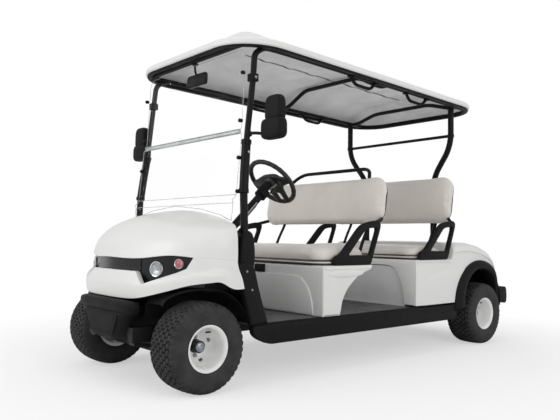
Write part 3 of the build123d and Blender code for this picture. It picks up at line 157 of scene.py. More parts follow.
def pipe(path, radius, sides=18, up=(1, 0, 0), flat=1.0):
    """A round bar along a path: centre + r (cos a N + flat sin a B), N being up made square to the path; no radius at
    both ends closes it."""
    p = np.asarray(path, float)
    t = np.gradient(p, axis=0)
    b = np.cross(t, up)
    b /= np.linalg.norm(b, axis=1, keepdims=True)
    n = np.cross(b, t / np.linalg.norm(t, axis=1, keepdims=True))
    a, r = np.linspace(0, 2 * np.pi, sides, endpoint=False)[None, :, None], np.broadcast_to(radius, len(p))[:, None,
        None]
    rings = p[:, None] + r * (np.cos(a) * n[:, None] + flat * np.sin(a) * b[:, None])
    return grid(np.concatenate([np.repeat(p[:1, None], sides, 1), rings, np.repeat(p[-1:, None], sides, 1)]), cols=True)


def looped(ring, radius, sides, up):
    """A round bar along a closed ring of points."""
    return pipe(np.concatenate([ring, ring[:2]]), radius, sides, up)


def turned(profile, centre, axis=(1, 0, 0), sides=48, closed=False):
    """A profile of (distance along the axis, radius) spun about it: centre + d A + r (cos a N + sin a B)."""
    profile, axis = np.asarray(profile, float), np.asarray(axis, float) / np.linalg.norm(axis)
    n = np.cross(axis, (0, 0, 1) if abs(axis[2]) < 0.9 else (1, 0, 0))
    n /= np.linalg.norm(n)
    b, a = np.cross(axis, n), np.linspace(0, 2 * np.pi, sides, endpoint=False)[None, :, None]
    d, r = profile[:, 0][:, None, None], profile[:, 1][:, None, None]
    return grid(np.asarray(centre, float) + d * axis + r * (np.cos(a) * n + np.sin(a) * b), rows=closed, cols=True)


def plate(loops, thickness, edge, origin, across, along):
    """A flat plate with holes and rounded edges: loops are closed lines in its two directions, and it is centred on its
    own plane."""
    curve = bpy.data.curves.new("plate", "CURVE")
    curve.dimensions, curve.fill_mode = "2D", "BOTH"
    curve.extrude, curve.bevel_depth, curve.bevel_resolution, curve.offset = max(thickness / 2 - edge,
        0), edge, 2, -edge
    for loop in loops:
        run = curve.splines.new("POLY")
        run.points.add(len(loop) - 1)
        run.points.foreach_set("co", np.c_[np.asarray(loop, float), np.zeros(len(loop)), np.ones(len(loop))].ravel())
        run.use_cyclic_u = True
    holder = bpy.data.objects.new("plate", curve)
    mesh = bpy.data.meshes.new_from_object(holder)
    flat = np.zeros(3 * len(mesh.vertices))
    mesh.vertices.foreach_get("co", flat)
    faces = [tuple(face.vertices) for face in mesh.polygons]
    bpy.data.meshes.remove(mesh)
    bpy.data.objects.remove(holder)
    across, along = np.asarray(across, float), np.asarray(along, float)
    basis = np.array([across, along, np.cross(across, along)])
    return np.asarray(origin, float) + flat.reshape(-1, 3) @ basis, faces


def box(low, high, edge=0.003):
    """A block with rounded edges between two corners, standing as a plate across its thinnest way."""
    low, high = np.minimum(low, high).astype(float), np.maximum(low, high).astype(float)
    size, order = high - low, int(np.argmin(high - low))
    i, j = (order + 1) % 3, (order + 2) % 3
    e, half = min(edge, size[order] * 0.45), size / 2
    loop = softened(np.array([(-1, -1), (1, -1), (1, 1), (-1, 1)]) * (half[i], half[j]), e, 4, True)
    return plate([loop], size[order], e, (low + high) / 2, np.eye(3)[i], np.eye(3)[j])


def mirror(shape):
    """The same shape on the cart's other side, with its faces turned so that they still point out."""
    return shape[0] * (-1, 1, 1), [face[::-1] for face in shape[1]]


def both(*shapes):
    """Shapes and their mirror images."""
    return [*shapes, *(mirror(shape) for shape in shapes)]


def moved(shape, shift):
    """A shape carried by a shift."""
    return shape[0] + np.asarray(shift, float), shape[1]


def joined(name, shapes):
    """One mesh of several shapes, carried from the front axle into the cart's frame."""
    starts = np.cumsum([0] + [len(verts) for verts, faces in shapes])
    verts = np.concatenate([verts for verts, faces in shapes]) + (0, AXLE, 0)
    mesh = bpy.data.meshes.new(name)
    mesh.from_pydata(verts.tolist(), [],
        [[k + start for k in face] for shape, start in zip(shapes, starts) for face in shape[1]])
    return mesh


def placed(mesh, speck=0.0, inward=False):
    """Merges a mesh's doubles, drops its specks, turns its faces outwards or inwards, and puts it in the scene."""
    work = bmesh.new()
    work.from_mesh(mesh)
    bmesh.ops.remove_doubles(work, verts=work.verts, dist=MERGE)
    if speck:
        bmesh.ops.dissolve_degenerate(work, edges=work.edges, dist=speck)
    bmesh.ops.recalc_face_normals(work, faces=work.faces)
    if inward:
        bmesh.ops.reverse_faces(work, faces=work.faces)
    work.to_mesh(mesh)
    work.free()
    obj = bpy.data.objects.new(mesh.name, mesh)
    bpy.context.scene.collection.objects.link(obj)
    return obj


def cutter(name, shapes):
    """A tool object for a boolean cut, which discard removes once the cut is made."""
    return placed(joined(name, shapes))


def discard(obj):
    """Removes a tool object and its mesh."""
    mesh = obj.data
    bpy.data.objects.remove(obj)
    bpy.data.meshes.remove(mesh)


def cut_with(obj, tool):
    """Adds a boolean cut by a tool object."""
    hole = obj.modifiers.new("cut", "BOOLEAN")
    hole.operation, hole.solver, hole.object = "DIFFERENCE", "EXACT", tool


def settle(obj):
    """Applies an object's modifiers to its mesh."""
    baked = bpy.data.meshes.new_from_object(obj.evaluated_get(bpy.context.evaluated_depsgraph_get()))
    old = obj.data
    obj.modifiers.clear()
    obj.data = baked
    bpy.data.meshes.remove(old)


def smoothed(obj, sharp):
    """Shades an object smooth, except across edges that turn more than sharp degrees."""
    obj.data.shade_smooth()
    obj.data.set_sharp_from_angle(angle=math.radians(sharp))


def piece(name, shapes, finishes, body="chassis", stands_for=(), wall=0.0, edge=0.0, sharp=SHARP, inside=False,
        cut=None):
    """Makes one object from shapes: cleans it, cuts it, adds a wall and rounded edges, and hangs it on its body;
    inside lays the wall on the other side of the surface."""
    finishes = finishes if isinstance(finishes, (list, tuple)) else [finishes] * len(shapes)
    used = list(dict.fromkeys(finishes))
    mesh = joined(name, shapes)
    index = np.concatenate([np.full(len(faces), used.index(kind)) for (verts, faces), kind in zip(shapes, finishes)])
    mesh.polygons.foreach_set("material_index", index.astype(np.int32))
    for kind in used:
        mesh.materials.append(bpy.data.materials[kind])
    obj = placed(mesh, SPECK, inside)
    if wall:
        shell = obj.modifiers.new("wall", "SOLIDIFY")
        shell.thickness, shell.offset, shell.use_even_offset, shell.use_quality_normals = wall, -1, True, True
    if cut is not None:
        cut_with(obj, cut)
    if edge:
        rounded = obj.modifiers.new("edges", "BEVEL")
        rounded.width, rounded.segments, rounded.limit_method, rounded.angle_limit = edge, 2, "ANGLE", BEVEL_FROM
        rounded.use_clamp_overlap = True
    if obj.modifiers:
        settle(obj)
    smoothed(obj, sharp)
    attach(obj, body)
    if stands_for:
        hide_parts(*stands_for)
    return obj


def smoothstep(x, low, high):
    """0 below low, 1 above high, and 3t^2 - 2t^3 between them."""
    t = np.clip((x - low) / (high - low), 0, 1)
    return t * t * (3 - 2 * t)


# ---------------------------------------------------------------- finishes

def add(tree, kind, links=None, **settings):
    """Adds one node: settings are its own properties, and links give each socket a value or another node's socket."""
    node = tree.nodes.new(kind)
    for key, value in settings.items():
        setattr(node, key, value)
    for key, value in (links or {}).items():
        if isinstance(value, bpy.types.NodeSocket):
            tree.links.new(value, node.inputs[key])
        else:
            node.inputs[key].default_value = value
    return node


def bump(tree, below, height, depth):
    """Lays a relief, depth mm deep, over the normal below it; with none below, it is the first."""
    links = {"Height": height, "Distance": depth / 1000, "Strength": 1.0}
    if below is not None:
        links["Normal"] = below
    return add(tree, "ShaderNodeBump", links).outputs["Normal"]


def surface(name, light, dark, patch, rough, relief=(), ribs=None, dents=False, **sockets):
    """A finish on Object coordinates: the colour drifts between light and dark over patches of patch mm, and the
    roughness drifts with it. Each relief (kind, size mm, depth mm) is a fine noise or cell pattern laid over the last
    one, ribs is (axis, pitch mm, depth mm) and paints a highlight on the ridges, and dents darkens what lies inside a
    dent of the mesh as painted shade."""
    light, dark = (linear(tone) if isinstance(tone, str) else tone for tone in (light, dark))
    material = bpy.data.materials.new(name)
    material.use_nodes = True
    tree = material.node_tree
    shader = tree.nodes["Principled BSDF"]
    place = add(tree, "ShaderNodeTexCoord").outputs["Object"]
    drift = add(tree, "ShaderNodeTexNoise", {"Vector": place, "Scale": 1000 / patch, "Detail": 3.0, "Roughness": 0.55})
    spread = {"Value": drift.outputs["Fac"], "From Min": 0.36, "From Max": 0.64}
    share = add(tree, "ShaderNodeMapRange", spread)
    colour = add(tree, "ShaderNodeMix", {0: share.outputs["Result"], 6: (*light, 1), 7: (*dark, 1)}, data_type="RGBA")
    gloss = add(tree, "ShaderNodeMapRange", {**spread, "To Min": rough[0], "To Max": rough[1]})
    tree.links.new(colour.outputs[2], shader.inputs["Base Color"])
    tree.links.new(gloss.outputs["Result"], shader.inputs["Roughness"])
    normal = None
    for kind, size, depth in relief:
        if kind == "cells":
            fine = add(tree, "ShaderNodeTexVoronoi", {"Vector": place, "Scale": 1000 / size}, feature="SMOOTH_F1")
            height = fine.outputs["Distance"]
        else:
            fine = add(tree, "ShaderNodeTexNoise", {"Vector": place, "Scale": 1000 / size, "Detail": 2.0})
            height = fine.outputs["Fac"]
        normal = bump(tree, normal, height, depth)
    if ribs:
        axis, pitch, depth = ribs
        wave = add(tree, "ShaderNodeTexWave", {"Vector": place, "Scale": 1000 / pitch / BANDS}, bands_direction=axis)
        # painted highlight: the ridges are drawn paler than the valleys between them, as lit ridge tops
        ridge = add(tree, "ShaderNodeMapRange", {"Value": wave.outputs["Fac"], "From Min": 0.55, "From Max": 0.85})
        painted_ridge_highlight = add(tree, "ShaderNodeMix",
            {0: ridge.outputs["Result"], 6: colour.outputs[2], 7: (*shade(light, 2.0), 1)}, data_type="RGBA")
        tree.links.new(painted_ridge_highlight.outputs[2], shader.inputs["Base Color"])
        normal = bump(tree, normal, wave.outputs["Fac"], depth)
    if normal is not None:
        tree.links.new(normal, shader.inputs["Normal"])
    if dents:
        # the grooves of a tread hold no light
        dent = add(tree, "ShaderNodeNewGeometry").outputs["Pointiness"]
        deep = add(tree, "ShaderNodeMapRange", {"Value": dent, "From Min": 0.44, "From Max": 0.52})
        painted_groove_shade = add(tree, "ShaderNodeMix", {0: deep.outputs["Result"], 6: (*shade(light, 0.25), 1),
            7: colour.outputs[2]}, data_type="RGBA")
        tree.links.new(painted_groove_shade.outputs[2], shader.inputs["Base Color"])
    for key, value in sockets.items():
        shader.inputs[key.replace("_", " ")].default_value = value


# ---------------------------------------------------------------- what a user can change

def size(name, description, default):
    """A length in metres that a user may change."""
    return FloatProperty(name=name, description=description, default=default, min=0.0, subtype="DISTANCE",
        unit="LENGTH")


def colour(name, description, code):
    """A colour, given as an sRGB hex value."""
    return FloatVectorProperty(name=name, description=description, default=linear(code), size=3, min=0.0, max=1.0,
        subtype="COLOR")


class CART_PG_sizes(bpy.types.PropertyGroup):
    """Sizes of the pieces."""
    panel: size("Panel", "Thickness of the moulded body panels", 0.004)
    roof_half_width: size("Roof half width", "Half of the roof's width", 0.610)
    roof_corner: size("Roof corner", "Radius of the roof's corners, seen from above", 0.28)
    tyre_radius: size("Tyre radius", "Radius over the tread", HUB_Z)
    tyre_width: size("Tyre width", "Width over the sidewalls", 0.216)
    tread_depth: size("Tread depth", "Depth of the grooves between the tread blocks", 0.009)
    cushion_thickness: size("Seat thickness", "Thickness of the seat cushions", 0.112)
    cushion_half_width: size("Seat half width", "Half of the seat cushions' width", 0.565)
    back_half_width: size("Backrest half width", "Half of the backrests' width", 0.580)
    back_height: size("Backrest height", "Height of the backrests along their slope", 0.325)
    steering_radius: size("Steering wheel radius", "Radius of the steering wheel's rim", 0.168)
    tube_radius: size("Roof tube radius", "Radius of the roof's tubes", 0.015)
    tread_blocks: IntProperty(name="Tread blocks", description="Tread blocks round a tyre, in one row", default=40,
        min=12)


class CART_PG_colours(bpy.types.PropertyGroup):
    """Colours of the finishes."""
    body: colour("Body", "Moulded body panels and roof", "#EAEAE9")
    trim: colour("Trim", "Textured black mouldings", "#161617")
    steel: colour("Steel", "Powder-coated tubes and brackets", "#111112")
    vinyl: colour("Vinyl", "Seat covers", "#E6E0D9")
    liner: colour("Liner", "Grey liner of the roof and seat bases", "#F0F0F1")
    mat: colour("Floor mat", "Ribbed rubber mat", "#626263")
    rim: colour("Wheel rims", "Enamel of the steel wheels", "#FAFAF9")
    rubber: colour("Rubber", "Tyres", "#2D2D2E")


def sizes():
    return bpy.context.scene.cart_sizes


def shade(rgb, factor):
    """A colour made darker or lighter by a factor."""
    return tuple(min(1.0, c * factor) for c in rgb)


class CART_OT_finishes(bpy.types.Operator):
    """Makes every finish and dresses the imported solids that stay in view"""
    bl_idname = "cart.finishes"
    bl_label = "Finishes"

    def execute(self, context):
        c = context.scene.cart_colours
        body, trim, steel, vinyl = (tuple(v) for v in (c.body, c.trim, c.steel, c.vinyl))
        liner, mat, rim, rubber = (tuple(v) for v in (c.liner, c.mat, c.rim, c.rubber))
        # Vacuum-formed ABS with a clear acrylic cap: white and glossy, with a faint orange peel.
        surface(PANEL, body, shade(body, 0.965), 420, (0.33, 0.40), [("noise", 9, 0.03)], Coat_Weight=0.25,
            Coat_Roughness=0.16, IOR=1.48)
        # Injection-moulded polypropylene: black, with a leather grain that spreads the light. The 2 mm grain is drawn 4
        # mm wide to show.
        surface(PLASTIC, trim, shade(trim, 1.35), 160, (0.5, 0.62), [("cells", 4, 0.12), ("noise", 40, 0.25)], IOR=1.49,
            Specular_IOR_Level=0.13)
        # Steel tube under polyester powder coat: near black, satin, with a fine pebble.
        surface(STEEL, steel, shade(steel, 1.3), 110, (0.34, 0.46), [("noise", 3, 0.03)], Specular_IOR_Level=0.16)
        # Hot-rolled steel with dipped primer: dull black with faint mill patches.
        surface("dipped_chassis_steel", shade(steel, 1.1), shade(steel, 1.9), 70, (0.5, 0.68), [("noise", 6, 0.08)],
            Metallic=0.15)
        # Cast acrylic sheet: clear and polished, seen by its edges and its reflections.
        surface("clear_acrylic", "#F7FAF9", "#F1F6F5", 600, (0.02, 0.05), Transmission_Weight=1.0, IOR=1.2, Alpha=0.015)
        # Extruded clear acrylic bar: a little cloudier than the sheet, so that it reads as pale grey. The same finish
        # on thin rods along the panes' edges and bends is a painted highlight.
        surface("cloudy_acrylic", "#D9DCDB", "#C4C8C8", 60, (0.12, 0.2), Transmission_Weight=0.55, IOR=1.49, Alpha=0.75)
        # Smoked acrylic, moulded and polished: nearly black, deep gloss.
        surface("smoked_acrylic", "#18191A", "#1F2021", 120, (0.1, 0.16), [("noise", 30, 0.04)], Coat_Weight=0.3,
            Coat_Roughness=0.03, IOR=1.49, Specular_IOR_Level=0.2)
        # Polished acrylic of the middle of the band, a shade lighter.
        surface("smoked_acrylic_centre", "#1E1F20", "#262728", 90, (0.16, 0.22), [("noise", 22, 0.04)], Coat_Weight=0.3,
            Coat_Roughness=0.08, IOR=1.49, Specular_IOR_Level=0.2)
        # Chrome-plated plastic and steel: bright mirror with very slight waves.
        surface("chrome_plate", "#DFE1E3", "#C9CCCF", 35, (0.05, 0.12), [("noise", 14, 0.06)], Metallic=1.0)
        # Clear polycarbonate lens, moulded with fine flutes.
        surface("fluted_lens", "#F4F6F7", "#E6EAEC", 20, (0.03, 0.08), ribs=("X", 5, 0.3), Transmission_Weight=0.9,
            IOR=1.58, Alpha=0.45)
        # Rose-tinted polycarbonate lens with a pebbled inside.
        surface("rose_lens", "#C4565C", "#E08E90", 16, (0.08, 0.16), [("cells", 5, 0.5)], Transmission_Weight=0.25,
            IOR=1.58, Coat_Weight=0.6)
        # Red polycarbonate tail lens with moulded ribs.
        surface("red_lens", "#9E1414", "#C22020", 18, (0.08, 0.15), ribs=("X", 7, 0.5), Transmission_Weight=0.2,
            IOR=1.58, Coat_Weight=0.6)
        # Coated marine vinyl over foam: warm grey, soft sheen and an embossed leather grain. The 1 mm grain is drawn 3
        # mm wide to show.
        surface("embossed_vinyl", vinyl, shade(vinyl, 0.93), 260, (0.42, 0.52),
            [("cells", 3.2, 0.1), ("noise", 70, 0.5)], Sheen_Weight=0.15, Sheen_Roughness=0.4, IOR=1.5)
        # Welted vinyl piping and the black base board under each cushion.
        surface("black_vinyl", "#262525", "#31302F", 80, (0.45, 0.6), [("cells", 3, 0.1)])
        # Carbon-filled tyre rubber, moulded: dull dark grey with a dusting of bloom, and painted shade in the tread's
        # grooves.
        surface("moulded_tyre_rubber", rubber, shade(rubber, 2.0), 60, (0.62, 0.8), [("noise", 4, 0.12)], dents=True,
            IOR=1.52, Specular_IOR_Level=0.3)
        # Stove enamel on pressed steel: white, glossy, a little uneven.
        surface("stove_enamelled_rim", rim, shade(rim, 0.9), 50, (0.22, 0.32), [("noise", 16, 0.06)], Coat_Weight=0.4,
            Coat_Roughness=0.1)
        # Zinc-plated fasteners: pale grey metal, brushed by the spanner.
        surface(ZINC, "#B4B6B8", "#8E9194", 12, (0.28, 0.42), [("noise", 2, 0.05)], Metallic=1.0)
        # Leaf spring steel, shot-peened and oiled.
        surface("peened_spring_steel", "#2C2D2F", "#3A3A3B", 40, (0.4, 0.55), [("noise", 2.5, 0.1)], Metallic=0.6)
        # Moulded battery cases: dull dark grey with a frosted skin.
        surface("moulded_battery_case", "#3C3E41", "#4A4C4F", 120, (0.5, 0.62), [("noise", 5, 0.1)],
            ribs=("X", 60, 1.2))
        # Calendered rubber matting: dark grey with fine raised ribs along the cart, their ridges drawn paler as a
        # painted highlight.
        surface("ribbed_rubber_mat", mat, shade(mat, 0.7), 90, (0.6, 0.75), [("noise", 5, 0.1)], ribs=("X", 18, 1.6))
        # Thermoformed grey liner: matt, with shallow waves from the mould.
        surface("grey_liner", liner, shade(liner, 0.88), 170, (0.5, 0.62), [("noise", 60, 1.0), ("cells", 5, 0.08)])
        # Moulded panel let into the seat bases: finely grained, and drawn a little darker than the body as painted
        # shade of its recess.
        surface("grained_panel_painted_shade", "#DADADB", "#D0D0D1", 260, (0.5, 0.6), [("cells", 3.5, 0.1)])
        # Self-skinned polyurethane of the steering wheel: black, soft satin.
        surface("skinned_polyurethane", "#18181A", "#242426", 50, (0.4, 0.52), [("cells", 2.5, 0.12)])
        # Silvered glass of the mirrors.
        surface("silvered_glass", "#E4E7E9", "#D5D9DC", 200, (0.02, 0.04), Metallic=1.0)
        # Polished aluminium sleeves and levers.
        surface("drawn_aluminium", "#C6C8CA", "#A9ACAF", 30, (0.2, 0.32), [("noise", 3, 0.03)], Metallic=1.0)
        stays = {
            "dipped_chassis_steel": "chassis_frame front_axle rear_axle knuckle_left knuckle_right",
            "peened_spring_steel": "leaf_springs", ZINC: "tie_rod", "moulded_battery_case": "battery_pack",
            PLASTIC: "dash_panel steering_column", "ribbed_rubber_mat": "floor", STEEL: "pedals",
        }
        for kind, nodes in stays.items():
            for node in nodes.split():
                for slot in frame["nodes"][node].material_slots:
                    slot.material = bpy.data.materials[kind]
        return {"FINISHED"}


# ---------------------------------------------------------------- nose

HOOD = whole(np.array([
    [(0, -.258, .668), (0, -.245, .705), (0, -.222, .757), (0, -.185, .805), (0, -.120, .861), (0, -.035, .897),
     (0, .07, .918), (0, .18, .932)],
    [(.265, -.208, .667), (.265, -.198, .703), (.265, -.178, .75), (.265, -.145, .793), (.265, -.09, .84),
     (.265, -.015, .872), (.265, .078, .895), (.265, .176, .909)],
    [(.44, -.137, .684), (.44, -.128, .712), (.44, -.112, .748), (.44, -.083, .782), (.44, -.04, .815),
     (.44, .015, .842), (.44, .09, .864), (.44, .168, .879)],
    [(.522, -.067, .676), (.524, -.058, .705), (.526, -.045, .737), (.528, -.022, .766), (.529, .012, .793),
     (.529, .052, .817), (.528, .105, .839), (.526, .162, .856)],
    [(.565, 0, .668), (.568, .006, .70), (.571, .016, .73), (.573, .03, .757), (.573, .052, .782), (.571, .08, .805),
     (.568, .118, .825), (.565, .158, .842)],
    [(.592, .075, .662), (.595, .078, .69), (.597, .083, .72), (.597, .09, .748), (.596, .102, .773),
     (.594, .118, .795), (.590, .135, .812), (.585, .153, .824)],
    [(.602, .152, .655), (.603, .152, .685), (.603, .152, .712), (.603, .151, .737), (.602, .151, .757),
     (.601, .151, .773), (.599, .150, .788), (.597, .150, .80)],
]).transpose(1, 0, 2))
SKIRT = [
    [(0, -.270, .460), (.15, -.267, .461), (.30, -.238, .470), (.40, -.198, .494), (.47, -.147, .517),
     (.535, -.078, .541), (.58, .01, .552), (.597, .06, .551), (.6, .125, .520), (.6, .200, .516)],
    [(0, -.276, .525), (.15, -.271, .527), (.30, -.240, .535), (.40, -.196, .552), (.475, -.140, .570),
     (.54, -.070, .588), (.583, .012, .595), (.6, .065, .592), (.602, .12, .575), (.602, .185, .565)],
    [(0, -.262, .60), (.13, -.249, .60), (.246, -.222, .60), (.308, -.198, .602), (.40, -.157, .606), (.47, -.11, .61),
     (.52, -.062, .62), (.565, 0, .63), (.592, .075, .625), (.603, .16, .618)],
]
OPENING = [(0, .602), (.236, .599), (.316, .537), (.40, .569), (.47, .604), (.497, .619), (.523, .672)]
BAND = [(0, -.235), (.13, -.2185), (.256, -.19), (.4, -.143), (.5, -.07), (.55, -.01)]


def inward(points, depth):
    """The way into the nose from a row of points that runs outwards along it: each point's run, turned a quarter
    towards the middle."""
    run = np.gradient(points[:, :2], axis=0)
    run /= np.linalg.norm(run, axis=1, keepdims=True)
    return np.c_[-run[:, 1], run[:, 0], np.zeros(len(run))] * np.broadcast_to(depth, len(run))[:, None]


ROWS = 161                                       # rows of the skirt's dense net, from its bottom lip to the crease


def nose_skirt():
    """The panel under the lamp band: a draped net from its bottom lip up to the crease, cut off column by column at the
    band's opening."""
    half = HOOD[0, 6:]
    run = chord(half)
    crease = spline_weights(run, np.linspace(0, run[-1], 400)) @ half
    order = np.interp([0, .13, .246, .308, .40, .47, .522, .565, .592], crease[:, 0], np.arange(400))
    net = np.array([*SKIRT, crease[np.r_[order.astype(int), 399]]])
    cross = np.mean([chord(row) for row in net], axis=0)
    along = np.linspace(0, cross[-1], 600)
    guide = spline_weights(cross, along) @ net[2]
    marks = np.interp([.246, .308, .40, .497, .523], guide[:, 0], along)
    u = np.unique(np.r_[np.linspace(0, cross[-1], 170), marks])
    dense = draped(net, ROWS, 0, u=u)
    plan = spline_weights(cross, u) @ net[2]
    edge = np.interp(dense[..., 0], *np.transpose(OPENING))
    over = dense[..., 2] - np.where(dense[..., 0] < OPENING[-1][0], edge, 9)
    first = np.argmax(over > 0, axis=0)
    j = np.arange(len(u))
    last = first - over[first, j] / (over[first, j] - over[first - 1, j] + 1e-12)
    column = np.where((over > 0).any(axis=0), last, ROWS - 1.0)
    share = np.linspace(0, 1, 28)[:, None] * column[None, :]
    low = np.clip(share.astype(int), 0, ROWS - 2)
    mix = (share - low)[..., None]
    surf = dense[low, j] * (1 - mix) + dense[low + 1, j] * mix
    way = inward(plan, 1.0)
    back = surf[-1] + way * np.where(surf[-1][:, 0] < .522, .03, .005)[:, None]
    foot = surf[0] + way * .012 + (0, 0, .002)
    return grid(whole(np.concatenate([foot[None], surf, back[None]])))


def lamp(centre, facing, radius, name_of_lens):
    """A lamp turned about the way it faces: chrome ring, mirror bowl and domed lens; the dome rises as a cosine."""
    r = np.linspace(1, 0, 9)
    quarter = np.linspace(1, 0, 6) * np.pi / 2
    ring = [(-.014, 1.02), (.004, 1.1), (.008, 1.05), (.006, .93), (-.004, .9), (-.014, .9)]
    ring = turned([(depth, radius * share) for depth, share in ring], centre, facing, 48, True)
    bowl = turned(np.c_[.005 - .007 * (1 - r * r), radius * .94 * r], centre, facing, 48)
    bulb = turned(np.c_[-.002 + .008 * np.cos(quarter), radius * .22 * np.sin(quarter)], centre, facing, 16)
    lens = turned(np.c_[.004 + .012 * np.cos(r * np.pi / 2), radius * .95 * r], centre, facing, 48)
    return [ring, bowl, bulb, lens], ["chrome_plate", "drawn_aluminium", "drawn_aluminium", name_of_lens]


class CART_OT_nose(bpy.types.Operator):
    """Builds the hood, the skirt under it and the lamp band with its lamps"""
    bl_idname = "cart.nose"
    bl_label = "Nose"

    def execute(self, context):
        wall = sizes().panel
        surf = draped(HOOD, 42, 170)
        lip = surf[0]
        tuck = lip + inward(lip, np.where(np.abs(lip[:, 0]) < .52, .03, .005))
        rear = surf[-1] + (0, .004, -.018)
        hood = grid(np.concatenate([tuck[None], surf, rear[None]]))
        for name, shape in (("hood", hood), ("nose_skirt", nose_skirt())):
            piece(name, [shape], PANEL, stands_for=("front_cowl",), wall=wall, edge=.0015)
        plan = spline([(-x, y) for x, y in BAND[:0:-1]] + BAND, 121)
        band = stacked(plan[:, 0], plan[:, 1], np.linspace(.528, .705, 8)[:, None])
        piece("lamp_band_lens", [grid(band)], "smoked_acrylic", stands_for=("lamp_band",), wall=.004)
        inner = plan[np.abs(plan[:, 0]) < .251]
        ahead = inner + inward(inner, -.004)[:, :2]
        centre = stacked(ahead[:, 0], ahead[:, 1], np.linspace(.597, .672, 5)[:, None])
        piece("lamp_band_centre", [grid(centre)], "smoked_acrylic_centre", stands_for=("lamp_band",),
            wall=.003, edge=.001)
        for name, node, place, facing, radius, lens in (
                ("headlamp_units", "headlamps", (.349, -.1665, .614), (.36, -.93, .05), .037, "fluted_lens"),
                ("turn_signal_units", "turn_signals", (.464, -.1055, .643), (.55, -.83, .05), .0235, "rose_lens")):
            shapes, kinds = lamp(place, facing, radius, lens)
            piece(name, both(*shapes), kinds * 2, stands_for=(node,))
        return {"FINISHED"}


BUMPER = whole(np.array([
    [(0, -.245, .452), (.14, -.243, .451), (.25, -.235, .447), (.286, -.226, .441), (.285, -.222, .438)],
    [(0, -.290, .453), (.14, -.288, .452), (.232, -.280, .450), (.284, -.252, .445), (.288, -.232, .441)],
    [(0, -.303, .447), (.14, -.301, .446), (.242, -.292, .443), (.294, -.262, .438), (.296, -.230, .434)],
    [(0, -.307, .432), (.14, -.305, .431), (.245, -.296, .429), (.298, -.265, .424), (.299, -.230, .421)],
    [(0, -.307, .408), (.14, -.305, .407), (.243, -.296, .405), (.295, -.265, .400), (.296, -.230, .398)],
    [(0, -.302, .397), (.14, -.300, .396), (.236, -.291, .394), (.285, -.262, .388), (.287, -.230, .386)],
    [(0, -.294, .393), (.135, -.292, .392), (.222, -.284, .389), (.262, -.256, .381), (.264, -.228, .378)],
    [(0, -.300, .382), (.13, -.298, .381), (.206, -.290, .378), (.242, -.262, .369), (.245, -.232, .366)],
    [(0, -.301, .340), (.118, -.300, .339), (.178, -.291, .337), (.209, -.263, .331), (.213, -.233, .327)],
    [(0, -.296, .293), (.104, -.295, .292), (.158, -.285, .291), (.187, -.257, .289), (.193, -.232, .287)],
    [(0, -.286, .256), (.090, -.285, .257), (.140, -.275, .259), (.168, -.249, .261), (.175, -.228, .262)],
    [(0, -.268, .238), (.078, -.267, .240), (.122, -.258, .243), (.149, -.237, .248), (.157, -.224, .251)],
    [(0, -.240, .233), (.070, -.240, .235), (.112, -.236, .239), (.137, -.228, .244), (.147, -.221, .248)],
]))


def bumper_face(x, z, corner):
    """How far forward the bumper's inset lies: it leans with the height and falls back towards its corners."""
    return (np.interp(z, [.26, .295, .345, .39], [-.287, -.296, -.301, -.303])
            + np.interp(np.abs(x), [0, .10, .15, .19], [0, .0010, .004, corner]))


class CART_OT_front_bumper(bpy.types.Operator):
    """Builds the moulded front bumper with its rolled top, groove and inset panel"""
    bl_idname = "cart.front_bumper"
    bl_label = "Front bumper"

    def execute(self, context):
        cross = np.mean([chord(row) for row in BUMPER], axis=0)
        surf = np.einsum("cj,rjk->rck", spline_weights(cross, np.linspace(0, cross[-1], 97)), BUMPER)
        run = np.mean([chord(column) for column in surf.swapaxes(0, 1)], axis=0)
        surf = np.einsum("ri,ijk->rjk", spline_weights(run, np.linspace(0, run[-1], 90)), surf)
        loop = softened([(-.186, .374), (-.128, .272), (.128, .272), (.186, .374)], .012, 6, True)
        lean, faces = plate([loop], .006, .002, (0, -.2985, 0), *FRONT)
        lean[:, 1] = bumper_face(lean[:, 0], lean[:, 2], .0075) + np.where(lean[:, 1] < -.2985, -.0035, .003)
        piece("bumper_shell", [grid(surf)], PLASTIC, stands_for=("front_bumper",), wall=.005,
            edge=.002)
        ring = np.c_[loop[:, 0] * 1.03, bumper_face(*loop.T, .0085) - .002, loop[:, 1]]
        piece("bumper_inset", [(lean, faces), looped(ring, .0045, 12, (0, 1, 0))], PLASTIC,
            stands_for=("front_bumper",))
        return {"FINISHED"}


# ---------------------------------------------------------------- roof

ROOF_MIDDLE, ROOF_HALF_LENGTH = 1.325, 1.165
LIP_Z = 1.790                                    # the lip's lower edge at the roof's middle
ROOF_FALL = math.tan(math.radians(1.5))          # how the roof falls towards the rear


def lip_height(y):
    """Height of the roof lip's lower edge at a place y."""
    return LIP_Z - (y - ROOF_MIDDLE) * ROOF_FALL


def rounded_loop(half_x, half_y, radius, runs=(8, 16), arc=10):
    """A rounded rectangle as one closed loop: four quarter circles joined by evenly divided straight runs."""
    radius = min(radius, half_x, half_y)
    a = np.linspace(0, np.pi / 2, arc)
    parts = []
    for k, (sx, sy) in enumerate(((1, 1), (-1, 1), (-1, -1), (1, -1))):
        turn = a + k * np.pi / 2
        parts.append(np.c_[sx * (half_x - radius) + radius * np.cos(turn),
            sy * (half_y - radius) + radius * np.sin(turn)])
        nx, ny = ((-1, 1), (-1, -1), (1, -1), (1, 1))[k]
        end = np.array([nx * (half_x - radius) + radius * np.cos(turn[-1]),
            ny * (half_y - radius) + radius * np.sin(turn[-1])])
        steps = np.linspace(0, 1, runs[k % 2] + 2)[1:-1, None]
        parts.append(parts[-1][-1] * (1 - steps) + end * steps)
    return np.concatenate(parts)


